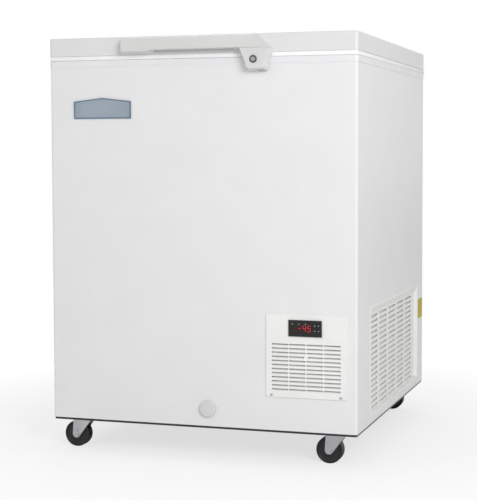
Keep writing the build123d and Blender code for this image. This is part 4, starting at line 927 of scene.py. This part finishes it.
@dataclass
class Badge:
    """Plain plate on the upper left of the front, with a raised rim and a low peak.

    Attributes:
        rim: Width of the raised rim.
        rim_rise: How far the field lies below the rim.
        peak_rise: Height of the peak over the plate's upper corners.
        reach: How near a point lies to the place that it is looked for at.
        least_area: Area that a part of the front face has at least.
        flatness: Share of its normal that a front face turns to the front.
    """

    rim: float = 2.6 * MM
    rim_rise: float = 0.6 * MM
    peak_rise: float = 8.0 * MM
    reach: float = 0.1 * MM
    least_area: float = 100 * MM * MM
    flatness: float = 0.99

    def build(self) -> None:
        """Sink the field of the plate inside its rim and give the two their colours."""
        plate = self.build_outline()
        edit(plate)
        pick_faces(
            plate,
            lambda face: face.normal.y < -self.flatness and face.calc_area() > self.least_area,
        )
        bpy.ops.mesh.inset(thickness=self.rim)
        extrude((0.0, self.rim_rise, 0.0))
        leave_edit()
        place_on(plate, "cabinet", SLATE_EDGE, ["badge_plate"])
        plate.data.materials.append(SLATE_PLATE.material())
        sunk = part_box("badge_plate")[0].y + self.rim_rise / 2
        for face in plate.data.polygons:
            if face.normal.y < -self.flatness and face.center.y > sunk:
                face.material_index = len(plate.data.materials) - 1

    def build_outline(self) -> bpy.types.Object:
        """Block whose upper edge rises to a peak in its middle, settled."""
        low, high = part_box("badge_plate")
        middle = (low + high) / 2
        middle.z -= self.peak_rise / 2
        size = high - low
        size.z -= self.peak_rise
        plate = add_block(middle, size)
        edit(plate)
        bpy.ops.mesh.select_all(action="SELECT")
        bpy.ops.mesh.subdivide(number_cuts=1)
        bpy.ops.mesh.select_mode(type="VERT")
        bpy.ops.mesh.select_all(action="DESELECT")
        shape = bmesh.from_edit_mesh(plate.data)
        top = high.z - self.peak_rise
        for vertex in shape.verts:
            if abs(vertex.co.z - top) < self.reach and abs(vertex.co.x - middle.x) < self.reach:
                vertex.select_set(True)
        bmesh.update_edit_mesh(plate.data)
        bpy.ops.transform.translate(value=(0.0, 0.0, self.peak_rise))
        leave_edit()
        return settle(plate, "badge_field")


@dataclass
class DrainOutlet:
    """Plug in the drain outlet."""

    rounding: float = 1.0 * MM

    def build(self) -> None:
        """Build the plug with a rounded rim."""
        plug = eased_copy("drain_plug", self.rounding, "drain_plug_cap")
        place_on(plug, "drain_plug", ABS_WHITE_PAINTED_SHADE, ["drain_plug"])


@dataclass
class Hinges:
    """Rear hinges."""

    node_finishes: dict[str, Finish] = field(
        default_factory=lambda: {
            "hinge_brackets": POWDER_COAT,
            "hinge_arms": POWDER_COAT,
            "hinge_pins": ZINC_PLATE,
        }
    )

    def build(self) -> None:
        """Dress the nodes."""
        for node, finish in self.node_finishes.items():
            dress(frame["nodes"][node], finish)


@dataclass
class Machinery:
    """What the machine compartment holds."""

    node_finishes: dict[str, Finish] = field(
        default_factory=lambda: {
            "condenser": FIN_FOIL,
            "fan_shroud": GALVANISED,
            "fan_motor": BLACK_ENAMEL,
            "fan_blade": BLACK_NYLON,
            "fan_shaft": ZINC_PLATE,
            "compressor": BLACK_ENAMEL,
            "compressor_mounts": RUBBER,
            "terminal_cover": BLACK_NYLON,
            "filter_drier": COPPER,
            "copper_lines": COPPER,
        }
    )

    def build(self) -> None:
        """Dress the nodes."""
        for node, finish in self.node_finishes.items():
            dress(frame["nodes"][node], finish)


@dataclass
class Casters:
    """Four swivel casters."""

    places: tuple[str, ...] = ("front_left", "front_right", "rear_left", "rear_right")
    tread_width: float = 4.0 * MM
    web_depth: float = 2.5 * MM
    hub_radius: float = 9.0 * MM
    rounding: float = 1.6 * MM
    fork_rounding: float = 0.7 * MM
    wheel_sides: int = 64

    def build(self) -> None:
        """Dress the plates and bolts, and build each wheel and fork."""
        dress(frame["nodes"]["caster_plates"], ZINC_PLATE)
        dress(frame["nodes"]["caster_bolts"], ZINC_PLATE)
        first = self.build_wheel(self.places[0])
        start = centre_of(f"caster_wheel_{self.places[0]}")
        for place in self.places:
            dress(frame["nodes"][f"caster_axle_{place}"], ZINC_PLATE)
            shift = centre_of(f"caster_wheel_{place}") - start
            wheel = copy_to(first, shift, f"wheel_{place}")
            place_on(wheel, f"wheel_{place}", BLACK_PP, [f"caster_wheel_{place}"])
            fork = eased_copy(f"caster_fork_{place}", self.fork_rounding, f"fork_{place}")
            place_on(fork, f"swivel_{place}", ZINC_PLATE, [f"caster_fork_{place}"])
        bpy.data.objects.remove(first)

    def build_wheel(self, place: str) -> bpy.types.Object:
        """Moulded wheel with a rounded tread, a sunk web and a hub on each side.

        Args:
            place: Caster whose CAD wheel gives the place and the size.

        Returns:
            The wheel, settled.
        """
        low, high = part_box(f"caster_wheel_{place}")
        radius = (high.z - low.z) / 2
        wheel = add_disc((low + high) / 2, radius, high.y - low.y, sides=self.wheel_sides)
        edit(wheel)
        for sign in (-1, 1):
            pick_faces(wheel, facing((0.0, sign, 0.0)))
            bpy.ops.mesh.inset(thickness=self.tread_width)
            extrude((0.0, -sign * self.web_depth, 0.0))
            bpy.ops.mesh.inset(thickness=radius - self.tread_width - self.hub_radius)
            extrude((0.0, sign * self.web_depth, 0.0))
        leave_edit()
        round_edges(wheel, self.rounding, segments=3)
        return settle(wheel, "wheel_master")


@dataclass(frozen=True)
class Lamp:
    """A square area lamp that is turned towards the object."""

    name: str
    place: Point
    width: float
    power: float


@dataclass
class Studio:
    """Camera, lights, world and floor."""

    camera_place: Point = (1.0275, -3.094, 0.684)
    yaw: float = 16.87
    pitch: float = 3.22
    roll: float = 0.08
    focal_px: float = 1316.6
    shift_x: float = -0.095
    shift_y: float = -0.048
    floor_size: float = 30.0
    floor_clear: float = 0.55
    floor_fade: float = 1.1
    floor_lift: float = 0.7
    view_reach: float = 60.0
    sky_light: float = 0.52
    lamp_target: Point = (0.0, 0.0, 0.45)
    lamps: tuple[Lamp, ...] = (
        Lamp("key_lamp", (2.2, -2.8, 1.8), 1.3, 66.0),
        Lamp("fill_lamp", (-2.6, -3.0, 2.6), 2.0, 16.0),
        Lamp("back_lamp", (-1.6, 3.4, 2.4), 2.0, 30.0),
    )

    def build(self) -> None:
        """Build all of it."""
        self.build_camera()
        self.build_world()
        self.build_lights()
        self.build_floor()

    def build_camera(self) -> None:
        """Camera where the edges of the cabinet in the photograph put it."""
        data = bpy.data.cameras.new("camera")
        data.sensor_width = SENSOR_MM
        data.lens = self.focal_px / IMAGE_HEIGHT_PX * SENSOR_MM
        data.clip_end = self.view_reach
        data.shift_x = self.shift_x
        data.shift_y = self.shift_y
        camera = bpy.data.objects.new("camera", data)
        camera.location = self.camera_place
        camera.rotation_euler = (
            math.radians(90 - self.pitch),
            math.radians(self.roll),
            math.radians(self.yaw),
        )
        bpy.context.scene.collection.objects.link(camera)
        bpy.context.scene.camera = camera

    def build_world(self) -> None:
        """White to the eye and to reflections, and a plain grey light on the object."""
        world = bpy.data.worlds.new("studio")
        bpy.context.scene.world = world
        world.use_nodes = True
        tree = world.node_tree
        tree.nodes.clear()
        path = add_node(tree, "ShaderNodeLightPath")
        seen = add_node(
            tree,
            "ShaderNodeMath",
            {"operation": "MAXIMUM"},
            {0: path.outputs["Is Camera Ray"], 1: path.outputs["Is Glossy Ray"]},
        )
        seen = add_node(
            tree,
            "ShaderNodeMath",
            {"operation": "MAXIMUM"},
            {0: seen.outputs[0], 1: path.outputs["Is Transmission Ray"]},
        )
        light = add_node(
            tree, "ShaderNodeBackground", {"Color": (1, 1, 1, 1), "Strength": self.sky_light}
        )
        white = add_node(tree, "ShaderNodeBackground", {"Color": (1, 1, 1, 1), "Strength": 1.0})
        mixed = add_node(
            tree,
            "ShaderNodeMixShader",
            {},
            {0: seen.outputs[0], 1: light.outputs[0], 2: white.outputs[0]},
        )
        add_node(tree, "ShaderNodeOutputWorld", {}, {"Surface": mixed.outputs[0]})

    def build_lights(self) -> None:
        """A soft lamp at the front right, a weak one at the front left and one behind."""
        target = Vector(self.lamp_target)
        for lamp in self.lamps:
            data = bpy.data.lights.new(lamp.name, "AREA")
            data.size = lamp.width
            data.energy = lamp.power
            light = bpy.data.objects.new(lamp.name, data)
            light.location = lamp.place
            aim = target - Vector(lamp.place)
            light.rotation_euler = aim.to_track_quat("-Z", "Y").to_euler()
            bpy.context.scene.collection.objects.link(light)

    def build_floor(self) -> None:
        """Pale floor that keeps the shadow near the object and is white further off."""
        deselect()
        bpy.ops.mesh.primitive_plane_add(size=self.floor_size, location=(0.0, 0.0, 0.0))
        floor = settle(bpy.context.object, "studio_floor")
        material = bpy.data.materials.new("matt_studio_paper")
        material.use_nodes = True
        tree = material.node_tree
        tree.nodes.clear()
        place = add_node(tree, "ShaderNodeTexCoord").outputs["Object"]
        reach = add_node(tree, "ShaderNodeVectorMath", {"operation": "LENGTH"}, {0: place})
        fade = add_node(
            tree,
            "ShaderNodeMapRange",
            {"From Min": self.floor_clear, "From Max": self.floor_fade, "To Min": self.floor_lift},
            {"Value": reach.outputs["Value"]},
        )
        path = add_node(tree, "ShaderNodeLightPath")
        share = add_node(
            tree,
            "ShaderNodeMath",
            {"operation": "MULTIPLY"},
            {0: fade.outputs["Result"], 1: path.outputs["Is Camera Ray"]},
        )
        paper = add_node(tree, "ShaderNodeBsdfDiffuse", {"Color": linear("#F4F4F4")})
        glow = add_node(tree, "ShaderNodeEmission", {"Color": (1, 1, 1, 1), "Strength": 1.0})
        mixed = add_node(
            tree,
            "ShaderNodeMixShader",
            {},
            {0: share.outputs[0], 1: paper.outputs[0], 2: glow.outputs[0]},
        )
        add_node(tree, "ShaderNodeOutputMaterial", {}, {"Surface": mixed.outputs[0]})
        floor.data.materials.append(material)


def main() -> None:
    """Build every sub-assembly, then the studio."""
    logging.basicConfig(level=logging.INFO, format="%(name)s: %(message)s")
    bpy.context.scene.view_settings.view_transform = "Standard"
    for assembly in (
        Cabinet(),
        Lid(),
        ControlPanel(),
        SideGrille(),
        Badge(),
        DrainOutlet(),
        Hinges(),
        Machinery(),
        Casters(),
    ):
        assembly.build()
        LOG.info("%s is built", type(assembly).__name__)
    Studio().build()


if __name__ == "__main__":
    main()
